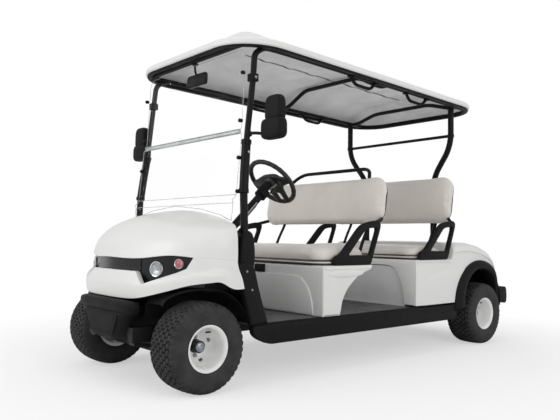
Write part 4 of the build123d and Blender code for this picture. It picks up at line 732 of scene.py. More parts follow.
def roof_rings(profile, runs=(8, 16), emboss=None):
    """Rings of the roof: each (inset, height) pair is a rounded rectangle that much inside the outline and above the
    sloping lip. The crown starts sooner at the rear end than at the front, so its middle shifts with the inset."""
    s, rings = sizes(), []
    for inset, height in profile:
        front, rear = (inset + (inset > .03) * (inset - .03) * (k - 1) for k in (.8, .38))
        loop = rounded_loop(s.roof_half_width - inset, ROOF_HALF_LENGTH - (front + rear) / 2,
            max(s.roof_corner - inset * 1.05, .06), runs)
        y = loop[:, 1] + ROOF_MIDDLE + (front - rear) / 2
        z = lip_height(y) + height
        if emboss is not None:
            z = z - emboss(loop[:, 0], loop[:, 1]) * smoothstep(inset, .06, .14)
        rings.append(np.c_[loop[:, 0], y, z])
    return np.array(rings)


class CART_OT_roof(bpy.types.Operator):
    """Builds the roof's moulded top, its grey liner and the dark trim round its lip"""
    bl_idname = "cart.roof"
    bl_label = "Roof"

    def execute(self, context):
        top = [(.03, .002), (.008, -.001), (.001, .005), (0, .017), (.003, .029), (.012, .038), (.03, .046),
            (.07, .061), (.13, .090), (.20, .121), (.27, .147), (.33, .160), (.40, .166), (.50, .169), (.6099, .170)]
        piece("roof_top", [grid(roof_rings(top), cols=True)], PANEL, stands_for=("roof_shell",),
            wall=.004)
        inset = np.r_[.022, .026, np.linspace(.034, .60, 44)]
        height = np.interp(inset, [.022, .034, .06, .15, .3, .61], [.010, .026, .046, .080, .128, .142])

        def emboss(x, y):
            """Raised ribs across the liner: smooth bars every 0.21 m, and two long ones along the cart."""
            across = smoothstep(np.cos(2 * np.pi * y / .21), .35, .8) * (1 - smoothstep(np.abs(x), .40, .47))
            along = np.exp(-((np.abs(x) - .5) / .012) ** 2) * .6
            return .006 * (across + along)
        piece("roof_liner", [grid(roof_rings(np.c_[inset, height], (40, 90), emboss), cols=True)], "grey_liner",
            stands_for=("roof_shell",), wall=.003, inside=True)
        rim = [(.010, -.010), (.046, -.010), (.048, .012), (.036, .024), (.012, .014)]
        piece("roof_trim", [grid(roof_rings(rim), rows=True, cols=True)], PLASTIC,
            stands_for=("roof_shell",), edge=.002)
        return {"FINISHED"}


# ---------------------------------------------------------------- windscreen, mirrors

PANE_FOOT, PANE_HEAD = (0, .238, 1.357), (0, .259, 1.800)    # the upper pane's lower and upper edge


class CART_OT_windscreen(bpy.types.Operator):
    """Builds the two clear panes, the bar between them and their clamps"""
    bl_idname = "cart.windscreen"
    bl_label = "Windscreen"

    def execute(self, context):
        run = np.subtract(PANE_HEAD, PANE_FOOT)
        length = np.linalg.norm(run)
        up = run / length
        loop = softened([(-.505, 0), (.505, 0), (.505, length), (-.505, length)], (.02, .02, .06, .06), 7, True)
        upper = plate([loop], .005, .0012, PANE_FOOT, (1, 0, 0), up)
        x = np.linspace(-.52, .52, 53)
        foot = np.interp(np.abs(x), [0, .265, .44, .50, .52], [.955, .932, .898, .872, .866])
        side = np.array([(.150, .0), (.1535, .2), (.157, .8), (.160, .958), (.172, .975), (.190, .990), (.197, 1.004),
            (.203, 1.06), (.2275, 1.331)])
        lower = stacked(x, side[:, :1], side[:, 1:])
        lower[:4, :, 2] = foot + (.958 - foot) * np.array([0, .33, .66, 1])[:, None]
        lower[:4, :, 1] = np.array([.150, .1535, .157, .160])[:, None] + (np.abs(x) > .43) * (np.abs(x) - .43) * .2
        piece("windscreen_upper", [upper], "clear_acrylic", stands_for=("windscreen",))
        piece("windscreen_lower", [grid(lower)], "clear_acrylic", stands_for=("windscreen",), wall=.005)
        bar = pipe(softened([(-.50, .231, 1.344), (0, .229, 1.344), (.50, .231, 1.344)], .2), .013, 16, (0, 0, 1), .55)
        # painted highlight: thin pale rods along the lower pane's bends and both panes' edges
        edges = [pipe(lower[k], .0019, 8, (0, .3, 1)) for k in (0, 3, 6, 8)]
        edges += [pipe(lower[:, k], .0019, 8, (1, 0, 0)) for k in (0, -1)]
        edges += [pipe(np.concatenate([loop, loop[:1]]) @ np.array([(1, 0, 0), up]) + PANE_FOOT, .0017, 8, (0, 1, 0))]
        piece("windscreen_edge_highlights", edges, "cloudy_acrylic")
        rails = [pipe([(-.50, .222, z), (0, .220, z), (.50, .222, z)], .0022, 8, (0, 0, 1)) for z in (1.334, 1.354)]
        piece("windscreen_bar", [bar, *rails], ["cloudy_acrylic", "drawn_aluminium", "drawn_aluminium"],
            stands_for=("windscreen",))
        knob = [(-.012, 0), (-.012, .010), (.004, .011), (.008, .008), (.008, 0)]
        places = ((.511, .222, 1.40), (.511, .234, 1.66), (.518, .210, 1.20), (.530, .196, 1.02))
        knobs = [turned(knob, place, (0, -1, 0), 20) for place in places]
        piece("windscreen_clamps", both(*knobs), PLASTIC, stands_for=("windscreen",))
        return {"FINISHED"}


def superellipse(count, power):
    """The unit superellipse |x|^p + |y|^p = 1 at evenly spaced angles."""
    a = np.linspace(0, 2 * np.pi, count, endpoint=False)
    return (np.sign(v) * np.abs(v) ** (2 / power) for v in (np.cos(a), np.sin(a)))


def oval_stack(levels, centre, count=40, power=2.6):
    """A closed body of stacked superellipses |x/a|^p + |y/b|^p = 1: each level is (z, a, b, shift back)."""
    x, y = superellipse(count, power)
    levels = np.asarray(levels, float)
    rows = stacked(x * levels[:, 1:2], y * levels[:, 2:3] + levels[:, 3:4], levels[:, :1])
    return grid(rows + np.asarray(centre, float), cols=True)


class CART_OT_mirrors(bpy.types.Operator):
    """Builds the two-lobed door mirrors with their arms, and the wide mirror under the roof"""
    bl_idname = "cart.mirrors"
    bl_label = "Mirrors"

    def execute(self, context):
        low = spline([(0, .0, .0), (.0005, .044, .017), (.006, .066, .028), (.018, .077, .034), (.05, .080, .036),
            (.086, .078, .035), (.102, .071, .031), (.107, .044, .019), (.1075, 0, 0)], 44)
        high = spline([(.094, 0, 0), (.0945, .038, .016), (.098, .055, .025), (.112, .060, .029), (.15, .061, .030),
            (.190, .060, .029), (.212, .055, .026), (.225, .044, .020), (.2305, .022, .010), (.231, 0, 0)], 54)
        at = np.array([.690, .305, 1.290])
        shapes = [oval_stack(np.c_[low, np.zeros(len(low))], at, 52, 4.2),
            oval_stack(np.c_[high, np.full(len(high), .003)], at + (.006, 0, 0), 52, 4.2)]
        seam = [(z, .0612 * k, .0305 * k, .003)
            for z, k in ((.1145, .0), (.1145, .99), (.1160, 1.01), (.1175, .99), (.1175, 0))]
        shapes.append(oval_stack(seam, at + (.006, 0, 0), 52, 4.2))
        glass = softened([(-.044, -.050), (.044, -.050), (.044, .050), (-.044, .050)], .018, 6, True)
        glass = plate([glass], .003, .001, at + (.004, .0325, .160), *FRONT)
        small = softened([(-.052, -.032), (.052, -.032), (.052, .032), (-.052, .032)], .016, 6, True)
        small = plate([small], .003, .001, at + (0, .0355, .053), *FRONT)
        arm = pipe(softened([(.530, .262, 1.330), (.585, .262, 1.330), (.632, .285, 1.322), (.66, .30, 1.322)], .03),
            .0085, 14, (0, 0, 1))
        boss = turned([(-.012, 0), (-.012, .019), (.010, .017), (.014, .010), (.014, 0)], (.536, .262, 1.330),
            (1, 0, 0), 24)
        piece("door_mirrors", both(*shapes, glass, small, arm, boss),
            ([PLASTIC] * 3 + ["silvered_glass"] * 2 + [PLASTIC] * 2) * 2, stands_for=("side_mirrors",))
        outline = softened([(-.105, -.036), (.105, -.036), (.098, .040), (-.098, .040)], .022, 7, True)
        shell = plate([outline], .022, .008, (0, .284, 1.717), (1, 0, 0), (0, .10, 1))
        face = plate([outline * .93], .003, .001, (0, .2965, 1.7165), (1, 0, 0), (0, .10, 1))
        stem = pipe(softened([(0, .268, 1.812), (0, .268, 1.775), (0, .280, 1.745), (0, .282, 1.72)], .02), .0065, 14)
        foot = turned([(0, 0), (0, .022), (.006, .020), (.010, .009), (.010, 0)], (0, .268, 1.815), (0, 0, -1), 24)
        piece("rear_view_mirror", [shell, face, stem, foot], [PLASTIC, "silvered_glass", STEEL, STEEL],
            stands_for=("interior_mirror",))
        return {"FINISHED"}


# ---------------------------------------------------------------- rear body

ARCH_Y, ARCH_Z, ARCH_RADIUS = 2.455, .31, .30    # the rear wheel arch in the quarter panel
WELL_Z, WELL_RADIUS, ARC_POINTS = .312, .292, 90
DECK = [(1.655, .642), (2.075, .642), (2.09, .655), (2.112, .725), (2.15, .757), (2.22, .762), (2.33, .759),
    (2.47, .738), (2.58, .704), (2.67, .650), (2.735, .585), (2.775, .515), (2.790, .43)]


def quarter_panels(y):
    """Rings of the rear body, one for each place y: across the deck, round the shoulder and down the side to the sill
    or the wheel arch."""
    y = y[:, None]
    top = np.interp(y, *np.transpose(DECK))
    behind = smoothstep(y, 2.08, 2.16)
    half = .600 - .06 * np.clip((y - 2.56) / .23, 0, 1) ** 2.2
    shoulder = .012 + behind * .050
    arch = np.sqrt(np.clip(ARCH_RADIUS**2 - (y - ARCH_Y) ** 2, 0, None))
    arch = np.where(np.abs(y - ARCH_Y) < ARCH_RADIUS, ARCH_Z + arch, 0)
    bottom = np.minimum(np.maximum(np.where(y > 2.5, .43, .335), arch), top - shoulder - .004)
    across = np.linspace(0, 1, 16)
    flat = stacked((half - shoulder) * across, y, top + .006 * behind * (1 - across**2))
    turn = np.linspace(0, np.pi / 2, 10)[1:]
    bend = stacked(half - shoulder + shoulder * np.sin(turn), y, top - shoulder + shoulder * np.cos(turn))
    down = np.linspace(0, 1, 30)[1:]
    z = (top - shoulder) * (1 - down) + bottom * down
    crease = np.interp(y, [1.70, 1.715, 1.727, 1.776, 1.863, 2.045, 2.3], [.30, .402, .452, .512, .542, .570, .585])
    swell = smoothstep(y, 1.712, 1.75) * (1 - smoothstep(y, 2.0, 2.2) * .4)
    side = stacked(half - .007 + .007 * smoothstep(crease - z, -.006, .035) * swell, y, z)
    side[:, :1, 0] = np.minimum(side[:, :1, 0], half - .002)
    return whole(np.concatenate([flat, bend, side], axis=1))


def panel_front(loop, y):
    """A flat panel facing forwards at a place y, cut to a loop in x and z."""
    return plate([loop], .005, .0015, (0, y, 0), *FRONT)


def arch_loop(half_top, top, half_foot, foot, reach=.07):
    """The outline of the grey panel in a seat base: flat on top, round shoulders, sides that spread towards the
    floor."""
    right = softened([(0, top), (half_top, top), (half_top + (half_foot - half_top) * .48, top - .045),
        (half_top + (half_foot - half_top) * .85, (top + foot) / 2), (half_foot, foot)], reach, 8)
    return np.concatenate([right, right[:0:-1] * (-1, 1)])


TAIL_UP = (0, -.62, 1)                           # the way up the tail lamps, which lean with the deck


class CART_OT_rear_body(bpy.types.Operator):
    """Builds the rear bench's base and quarter panels, the wheel wells, flares, bumper and tail lamps"""
    bl_idname = "cart.rear_body"
    bl_label = "Rear body"

    def execute(self, context):
        wall = sizes().panel
        y = np.unique(np.r_[np.linspace(1.665, 2.07, 26), np.linspace(2.07, 2.165, 16), np.linspace(2.165, 2.745, 90),
            np.linspace(2.745, 2.790, 10)])
        well = cutter("store", [box((-.50, 1.735, .50), (.50, 2.045, .70), .02)])
        piece("quarter_panels", [grid(quarter_panels(y))], PANEL, stands_for=("rear_body",), wall=wall,
            edge=.0015, cut=well)
        discard(well)
        front = softened([(-.597, .336), (.597, .336), (.597, .642), (-.597, .642)], .012, 5, True)
        recess = arch_loop(.385, .600, .500, .328)
        shell = plate([front, recess[::-1]], .010, .003, (0, 1.665, 0), *FRONT)
        # the panel inside the arch is drawn darker than the shell as painted shade
        inner = panel_front(arch_loop(.380, .596, .495, .331), 1.675)
        piece("rear_base_front", [shell, inner], [PANEL, "grained_panel_painted_shade"],
            stands_for=("rear_body",))
        x, drop = np.linspace(-.56, .56, 40), np.arange(6)[:, None]
        tail = stacked(x, 2.790 - .10 * np.abs(x / .56) ** 6 - .012 * drop, .44 - .016 * drop)
        piece("tail_apron", [grid(tail)], PLASTIC, stands_for=("rear_body",), wall=.004)
        # the flare: a section that runs from the panel to the wheel well, carried round the arch
        turn = np.linspace(np.radians(-6), np.radians(187), ARC_POINTS)
        c, s = np.cos(turn), np.sin(turn)
        outer = np.array([2.452 - .338 * c, .305 + .326 * s])
        inside = np.array([2.458 - .226 * c + .024 * c**2 * (c < 0), .335 + .232 * s])
        share = np.array([0, .03, .12, .3, .5, .7, .86, .95, 1.0, 1.02, 1.0])[:, None]
        stand = np.array([.594, .604, .612, .620, .6245, .6245, .620, .614, .606, .585, .54])[:, None]
        flare = stacked(stand, outer[0] * (1 - share) + inside[0] * share, outer[1] * (1 - share) + inside[1] * share)
        flare[..., 0] -= .055 * smoothstep(flare[..., 1], 2.56, 2.80) ** 2
        piece("arch_flares", both(grid(flare)), PLASTIC, stands_for=("rear_flares",), wall=.003)
        # the well behind it: a drum that is closed by a disc on its inner side
        deep = np.array([.60, .58, .50, .42, .36, .35])[:, None]
        well = stacked(deep, ARCH_Y - WELL_RADIUS * c, WELL_Z + WELL_RADIUS * s)
        well = np.concatenate([well, stacked(deep[-1:], np.full(ARC_POINTS, ARCH_Y), WELL_Z)])
        piece("wheel_wells", both(grid(well)), PLASTIC, stands_for=("rear_body",), wall=.003)
        # the bumper: a section carried across the cart, its face ribbed and its ends swept forwards
        x = np.linspace(-.592, .592, 121)
        section = softened([(2.74, .30), (2.875, .288), (2.893, .30), (2.898, .35), (2.890, .405), (2.872, .418),
            (2.74, .412)], .012, 5)
        ridge = smoothstep(.5 + .5 * np.cos(2 * np.pi * x / .052), .55, .9)
        face = smoothstep(section[:, :1], 2.84, 2.885) * (np.abs(x) < .55)
        lines = stacked(x, section[:, :1] - .035 * (np.abs(x) / .592) ** 8 - .005 * face * ridge, section[:, 1:])
        ends = [side * (1, 0, 0) + (0, 2.80, .36) for side in (lines[:, :1], lines[:, -1:])]
        piece("bumper_rear", [grid(np.concatenate([ends[0], lines, ends[1]], axis=1), rows=True)], PLASTIC,
            stands_for=("rear_bumper",), edge=.0015)
        loop = softened([(-.085, -.022), (.085, -.022), (.085, .022), (-.085, .022)], .012, 6, True)
        lens = plate([loop], .012, .004, (.40, 2.782, .490), (1, 0, 0), TAIL_UP)
        ring = plate([loop * 1.10], .008, .002, (.40, 2.777, .488), (1, 0, 0), TAIL_UP)
        piece("tail_lamp_units", both(lens, ring), ["red_lens", "chrome_plate"] * 2,
            stands_for=("tail_lamps",))
        return {"FINISHED"}


# ---------------------------------------------------------------- seats

BASE_TOP = .620                                  # the front bench's base
CORNER, ROUND = .085, ((24, 10), 10)             # the pads' corners, and the points of a ring round them
ARM_X, SUPPORT_X = .586, .42                     # the armrests, and the bars that carry the backrests
BACK_TILT = math.radians(8)                      # how far the backrests lean back
BACK_UP = np.array([0, math.sin(BACK_TILT), math.cos(BACK_TILT)])
BACK_FACE = np.array([0, -math.cos(BACK_TILT), math.sin(BACK_TILT)])


def pad_rings(half_w, half_d, corner, levels):
    """Closed rings of a pad in its own axes: each level (inset, height) is a rounded rectangle that much inside the
    outline."""
    rings = []
    for inset, height in levels:
        loop = rounded_loop(half_w - inset, half_d - inset, max(corner - inset * .6, .02), *ROUND)
        rings.append(np.c_[loop, np.full(len(loop), height)])
    return np.array(rings)


def pad_levels(thickness, crown, half_d):
    """The pad's edge as (inset, height): a flat underside, a full rounded side, and a crown that rises as the sine of
    the way in."""
    side = [(.012, .0), (.003, .008), (0, .024), (0, thickness * .5), (.003, thickness * .68), (.010, thickness * .82),
        (.022, thickness * .92), (.038, thickness * .975)]
    way = np.linspace(.055, half_d - .0005, 12)
    top = [(w, thickness * .985 + crown * math.sin(math.pi / 2 * (w - .04) / (half_d - .04))) for w in way]
    low = [(w, 0) for w in np.linspace(half_d - .0005, .03, 8)]
    return low + side + top


def plump(obj, cap, pressure=4.0, voxel=.0065, frames=16):
    """Blows a pad up with Cloth under pressure, keeps every point within cap of where it began, and smooths it once."""
    grain = obj.modifiers.new("grain", "REMESH")
    grain.mode, grain.voxel_size = "VOXEL", voxel
    settle(obj)
    count = len(obj.data.vertices)
    start = np.zeros(count * 3)
    obj.data.vertices.foreach_get("co", start)
    cloth = obj.modifiers.new("cloth", "CLOTH")
    cloth.settings.use_pressure, cloth.settings.uniform_pressure_force = True, pressure
    cloth.settings.effector_weights.gravity = 0
    cloth.settings.quality = 4
    cloth.settings.tension_stiffness = cloth.settings.compression_stiffness = 25
    cloth.settings.bending_stiffness = 2
    cloth.collision_settings.use_collision = False
    scene = bpy.context.scene
    for step in range(1, frames + 1):
        scene.frame_set(step)
    baked = bpy.data.meshes.new_from_object(obj.evaluated_get(bpy.context.evaluated_depsgraph_get()))
    after = np.zeros(count * 3)
    baked.vertices.foreach_get("co", after)
    bpy.data.meshes.remove(baked)
    obj.modifiers.clear()
    scene.frame_set(1)
    shift = (after - start).reshape(-1, 3)
    far = np.linalg.norm(shift, axis=1, keepdims=True)
    shift *= np.minimum(1, cap / np.maximum(far, 1e-9))
    obj.data.vertices.foreach_set("co", (start.reshape(-1, 3) + shift).ravel())
    relax = obj.modifiers.new("relax", "SMOOTH")
    relax.iterations, relax.factor = 4, .5
    settle(obj)
    obj.data.shade_smooth()


def back_foot(k):
    """The middle of a backrest's foot: 0 is the front row and 1 the rear one, which stands a little closer than its
    bench."""
    return np.array([0, 1.307 + k * (ROW - .08), .872 + k * RISE])


def tilted(rings, centre):
    """Pad rings stood up as a backrest: the pad's own second axis becomes the way up its slope and its third faces
    forward."""
    verts, faces = rings
    return np.asarray(centre, float) + verts[:, :1] * (1, 0, 0) + verts[:, 1:2] * BACK_UP + verts[:,
        2:3] * BACK_FACE, faces


class CART_OT_cushions(bpy.types.Operator):
    """Builds both benches' seat cushions and backrests as stuffed vinyl pads, with their seams, welts and boards"""
    bl_idname = "cart.cushions"
    bl_label = "Cushions"

    def execute(self, context):
        s = sizes()
        benches = (("front", .775, 1.219, s.cushion_thickness, .002), ("rear", 1.660, 2.054, .090, .020))
        for k, (row, front, back, thick, extra) in enumerate(benches):
            base = BASE_TOP + k * RISE
            half_d, mid = (back - front) / 2 - .003, (back + front) / 2
            body, cushion, backrest = row + "_seat_lid", (row + "_cushion",), (row + "_backrest",)
            levels = pad_levels(thick - .026, .012, half_d)
            pad = grid(pad_rings(s.cushion_half_width - .004, half_d - .002, CORNER, levels), cols=True)
            seat = piece(row + "_seat_pad", [moved(pad, (0, mid, base + .013))], "embossed_vinyl", body,
                cushion, sharp=80)
            loop = rounded_loop(s.cushion_half_width - .003, half_d, CORNER, *ROUND)
            ring = np.c_[loop[:, 0], loop[:, 1] + mid, np.full(len(loop), base + .030)]
            seam = looped(ring, .0030, 10, (0, 0, 1))
            welt = looped(ring - (0, 0, .013), .0045, 10, (0, 0, 1))
            board = rounded_loop(s.cushion_half_width - .001, half_d + .002, .08, (2, 2), 8)
            board = plate([board], .012, .003, (0, mid, base + .0066), *FLAT)
            piece(row + "_seat_welt", [seam, welt, board], ["black_vinyl", "embossed_vinyl", "black_vinyl"],
                body, cushion)
            half_h = s.back_height / 2 + extra
            centre = back_foot(k) + BACK_UP * half_h - BACK_FACE * .075
            levels = pad_levels(.062, .010, half_h)
            pad = grid(pad_rings(s.back_half_width - .003, half_h - .003, .10, levels), cols=True)
            rest = piece(row + "_back_pad", [tilted(pad, centre + BACK_FACE * .012)], "embossed_vinyl",
                "chassis", backrest, sharp=80)
            levels = [(half_h - .023, 0), (.08, 0), (.02, .0), (.006, .003), (.001, .010), (.002, .0155), (.03, .0155),
                (half_h - .023, .0155)]
            shell = tilted(grid(pad_rings(s.back_half_width - .022, half_h - .022, CORNER, levels), cols=True), centre)
            ring = rounded_loop(s.back_half_width - .020, half_h - .020, CORNER, *ROUND)
            edge = centre + ring[:, :1] * (1, 0, 0) + ring[:, 1:] * BACK_UP + BACK_FACE * .017
            piece(row + "_back_shell", [shell, looped(edge, .0035, 10, BACK_FACE)], [PLASTIC, "black_vinyl"],
                "chassis", backrest)
            plump(seat, .012)
            plump(rest, .012)
        return {"FINISHED"}


ARM_OUTER = [(81, 0), (90, 40), (108, 58), (145, 68), (320, 244), (385, 264), (470, 278), (505, 268), (512, 240),
    (416, 0)]
ARM_HOLE = [(212, 60), (365, 214), (395, 224), (465, 232), (470, 215), (405, 60)]


class CART_OT_seat_frames(bpy.types.Operator):
    """Builds the armrests, the bars that carry the backrests and the grab bar behind the front bench"""
    bl_idname = "cart.seat_frames"
    bl_label = "Seat frames"

    def execute(self, context):
        outer = softened(np.array(ARM_OUTER) / 1000, (.02, .02, .02, .03, .05, .04, .03, .025, .03, .02), 6, True)
        hole = softened(np.array(ARM_HOLE) / 1000, (.014, .02, .03, .02, .02, .014), 6, True)
        for k, row in enumerate(("front", "rear")):
            start, base, foot = .780 + k * ROW, BASE_TOP + k * RISE, back_foot(k)
            arm = plate([outer, hole[::-1]], .030, .009, (ARM_X, start, base), *SIDE)
            bar = [(SUPPORT_X, foot[1] - .045, base + .002), (SUPPORT_X, foot[1] + .01, base + .14),
                (SUPPORT_X, foot[1] + .094, foot[2] + .03), (SUPPORT_X, foot[1] + .105, foot[2] + .20)]
            bar = pipe(softened(bar, .06), .014, 16, (1, 0, 0), .42)
            tie = [(ARM_X, start + .47, base + .262), (.565, foot[1] + .03, base + .285),
                (.50, foot[1] + .095, foot[2] + .06)]
            tie = pipe(softened(tie, .03), .012, 14, (0, 1, 0))
            rail = pipe([(x, foot[1] + .095, foot[2] + .06) for x in (-.50, .50)], .012, 14, (0, 0, 1))
            shapes, kinds = both(arm, bar, tie) + [rail], [PLASTIC, STEEL, STEEL] * 2 + [STEEL]
            if k == 0:
                half = [(.40, 1.405, .95), (.40, 1.405, 1.175), (.335, 1.487, 1.262)]
                grab = softened(half + [(-x, y, z) for x, y, z in half[::-1]], (0, .06, .07, .07, .06, 0), 9)
                lugs = [pipe([(x, 1.33, .955), (x, 1.41, .955)], .011, 12, (0, 0, 1)) for x in (-.40, .40)]
                shapes, kinds = shapes + [pipe(grab, .0125, 18, (0, .6, .8)), *lugs], kinds + [STEEL] * 3
            piece(row + "_seat_arms", shapes, kinds, "chassis", (row + "_seat_frame",))
        return {"FINISHED"}


FRONT_BASE_Y = .777                              # the front face of the front bench's base


class CART_OT_front_base(bpy.types.Operator):
    """Builds the front bench's moulded base with its inset panel in painted shade, side ledges and swept rear edge"""
    bl_idname = "cart.front_base"
    bl_label = "Front seat base"

    def execute(self, context):
        side = softened([(.777, .327), (.777, .620), (1.215, .620), (1.205, .592), (1.090, .560), (.994, .488),
            (.944, .418), (.924, .327)], (.006, .012, .01, .02, .03, .03, .03, .006), 8, True)
        hollow = softened([(.815, .45), (.915, .45), (.945, .60), (1.165, .60), (1.165, .70), (.815, .70)], .006, 3,
            True)
        store = cutter("store", [plate([hollow], 1.0, .001, (0, 0, 0), *SIDE)])
        groove = cutter("groove", [plate([arch_loop(.395, .557, .520, .335)], .016, .001, (0, FRONT_BASE_Y, 0),
            *FRONT)])
        block = plate([side], 1.196, .010, (0, 0, 0), *SIDE)
        obj = piece("front_base_shell", [block], PANEL, stands_for=("front_seat_base",), cut=store)
        cut_with(obj, groove)
        settle(obj)
        smoothed(obj, SHARP)
        discard(store)
        discard(groove)
        # the inset panel is drawn darker than the body as painted shade
        inner = panel_front(arch_loop(.391, .553, .516, .337), FRONT_BASE_Y + .004)
        ledge = plate([softened([(.790, .594), (.790, .6195), (1.200, .6195), (1.200, .594)], .008, 5, True)], .030,
            .007, (.588, 0, 0), *SIDE)
        switch_box = box((-.02, .764, .562), (.075, .785, .612), .006)
        u, v = np.linspace(0, np.pi, 33)[:, None], np.linspace(-np.pi / 2, np.pi / 2, 13)
        swell = stacked(.594 + .012 * np.sin(u) * np.cos(v), .965 - .165 * np.cos(u),
            .572 + .026 * np.sin(v) * np.sin(u))
        piece("front_base_trim", [inner, *both(ledge, grid(swell)), switch_box],
            ["grained_panel_painted_shade"] + [PANEL] * 4 + [PLASTIC], stands_for=("front_seat_base",))
        return {"FINISHED"}


# ---------------------------------------------------------------- wheels

LANE = .0235                                     # width of one row of tread blocks
LUG_FROM = .0823                                 # the shoulder blocks begin this far from the tyre's middle
BEAD_LIP = (.97, .985, .985)                     # how the edge of a bead is drawn in
SHOULDER = .196                                  # the fine part of the section begins at this radius


def tyre_points(s, count, across):
    """A tyre: its section is carried round the axle, and the tread's radius drops by the groove depth where a wave
    across the tread or a staggered wave round it says there is a gap between blocks; the shoulder blocks run down the
    sidewall."""
    half, r = s.tyre_width / 2, s.tyre_radius
    outline = spline([(.084, .1035), (.0885, .112), (.095, .122), (half - .0035, .143), (half - .0002, .166),
        (half - .0015, .186), (half - .006, .203), (half - .0145, .2165), (.080, r - .0055), (.060, r - .0022),
        (.03, r - .0005), (0, r)], 300)
    run = chord(outline)
    shoulder = run[np.argmin(np.abs(outline[:, 1] - SHOULDER))]
    keep = np.r_[np.linspace(0, shoulder, 14)[:-1], np.linspace(shoulder, run[-1], across)]
    sec = np.c_[np.interp(keep, run, outline[:, 0]), np.interp(keep, run, outline[:, 1])]
    sec = np.concatenate([sec, sec[-2::-1] * (-1, 1)])
    a = np.linspace(0, 2 * np.pi, count, endpoint=False)[:, None]
    x, rad = sec[None, :, 0], sec[None, :, 1]
    lanes = x / LANE
    lane = np.round(lanes)
    pitch = s.tread_blocks * a / (2 * np.pi)
    wave = pitch + .5 * (lane % 2) + .16 * (lanes - lane)
    ring_gap = smoothstep(np.abs(lanes - lane), .36, .45) * (np.abs(x) < .088)
    bar_gap = smoothstep(np.abs((wave % 1) - .5), .34, .43)
    lug = pitch + .25 * np.sign(x)
    lug_gap = smoothstep(np.abs((lug % 1) - .5), .26, .36)
    outer = np.abs(x) >= LUG_FROM
    gap = np.where(outer, lug_gap, np.maximum(ring_gap, bar_gap))
    depth = s.tread_depth * np.where(outer, .5, 1) * (1 - smoothstep(np.abs(x), .098, .1055)) * (rad > .19)
    line = .0012 * np.exp(-((rad - .168) / .0016) ** 2) + .001 * np.exp(-((rad - .130) / .0014) ** 2)
    rad = rad - depth * gap
    return stacked(x + np.sign(x) * np.minimum(line, .0009), rad * np.cos(a), rad * np.sin(a))


RIM = [(.084, .1045), (.088, .113), (.0925, .1175), (.0955, .1175), (.0955, .113), (.091, .1065), (.086, .1020),
    (.072, .0995), (.055, .0975), (.042, .0950), (.030, .0935), (.012, .0885), (-.004, .080), (-.016, .070),
    (-.023, .0625), (-.026, .056), (-.0265, .048), (-.0265, .0)]
RIM_BACK = [(-.0325, .0), (-.0325, .050), (-.032, .058), (-.028, .0665), (-.020, .075), (-.008, .085), (.004, .091),
    (-.030, .0935), (-.048, .097), (-.085, .0985), (-.089, .1055), (-.0935, .112), (-.0955, .1175), (-.0925, .1175),
    (-.088, .113), (-.084, .1045)]


class CART_OT_wheels(bpy.types.Operator):
    """Builds four turf tyres and four dished steel rims with their nuts, hand holes, hub caps and valves"""
    bl_idname = "cart.wheels"
    bl_label = "Wheels"

    def execute(self, context):
        tyre = tyre_points(sizes(), *(((792, 46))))
        tyre = np.concatenate([tyre[:, :1] * BEAD_LIP, tyre, tyre[:, -1:] * BEAD_LIP], axis=1)
        quarters = np.radians([0, 90, 180, 270])
        nut = [(0, 0), (0, .0105), (.003, .0105), (.004, .0085), (.012, .0085), (.0135, .007), (.0135, .004),
            (.017, .0038), (.017, 0)]
        washer = [(0, 0), (0, .0125), (.0022, .0120), (.003, .009), (.003, 0)]
        sleeve = [(0, 0), (0, .0345), (.005, .0345), (.008, .0305), (.036, .0290), (.038, .0310), (.044, .0310),
            (.046, .0270), (.046, 0)]
        cap = [(0, 0), (0, .0255), (.004, .0250), (.009, .0215), (.012, .014), (.013, .007), (.0132, 0)]
        valve = np.array([(.012, .0395, .06794), (.030, .0415, .07138), (.044, .0425, .0731)])
        for corner in ("front_left", "front_right", "rear_left", "rear_right"):
            side = 1 if corner.endswith("left") else -1
            hub, wheel, axis = joint_place("spin_" + corner), "wheel_" + corner, (side, 0, 0)
            tread = moved(grid(tyre * (side, 1, 1), rows=True, cols=True), hub)
            piece("tyre_tread_" + corner, [tread], "moulded_tyre_rubber", wheel, ("tyre_" + corner,),
                sharp=30)
            hole = softened([(-.013, -.006), (.013, -.006), (.010, .006), (-.010, .006)], .006, 5, True)
            ways = [(math.cos(t), math.sin(t)) for t in quarters + math.radians(20)]
            tool = cutter("slots", [plate([hole], .08, .001, hub + (0, .076 * c, .076 * s), (0, -s, c), (0, c, s))
                for c, s in ways])
            rim = turned(RIM + RIM_BACK, hub, axis, 96, True)
            piece("rim_disc_" + corner, [rim], "stove_enamelled_rim", wheel, ("rim_" + corner,),
                cut=tool)
            discard(tool)
            parts = []
            for t in quarters:
                at = hub + (side * -.0275, .0475 * math.cos(t), .0475 * math.sin(t))
                parts += [turned(nut, at, axis, 6), turned(washer, at, axis, 20)]
            parts += [turned(sleeve, hub + (side * -.0270, 0, 0), axis, 36),
                turned(cap, hub + (side * .0185, 0, 0), axis, 36),
                pipe(hub + valve * (side, 1, 1), .0042, 10, (0, .86, -.5))]
            piece("wheel_nuts_" + corner, parts, [ZINC] * 8 + [STEEL, ZINC, PLASTIC], wheel,
                ("rim_" + corner,))
        return {"FINISHED"}


# ---------------------------------------------------------------- steering, struts, lower trim

def in_plane(shape, centre, basis):
    """Carries a shape made on x (right), y (up) and z (out) into a plane at a centre."""
    return np.asarray(centre, float) + shape[0] @ basis, shape[1]


def torus(radius, section, ripple=0.0, count=120, sides=20):
    """A ring: (R + r cos b) round a circle and r sin b out of it; ripple makes finger grips, r (1 + ripple cos 24a)."""
    a, b = np.linspace(0, 2 * np.pi, count, endpoint=False)[:, None], np.linspace(0, 2 * np.pi, sides, endpoint=False)
    r = section * (1 + ripple * np.cos(24 * a))
    across = radius + r * np.cos(b)
    return grid(stacked(across * np.cos(a), across * np.sin(a), r * np.sin(b) * .92), True, True)


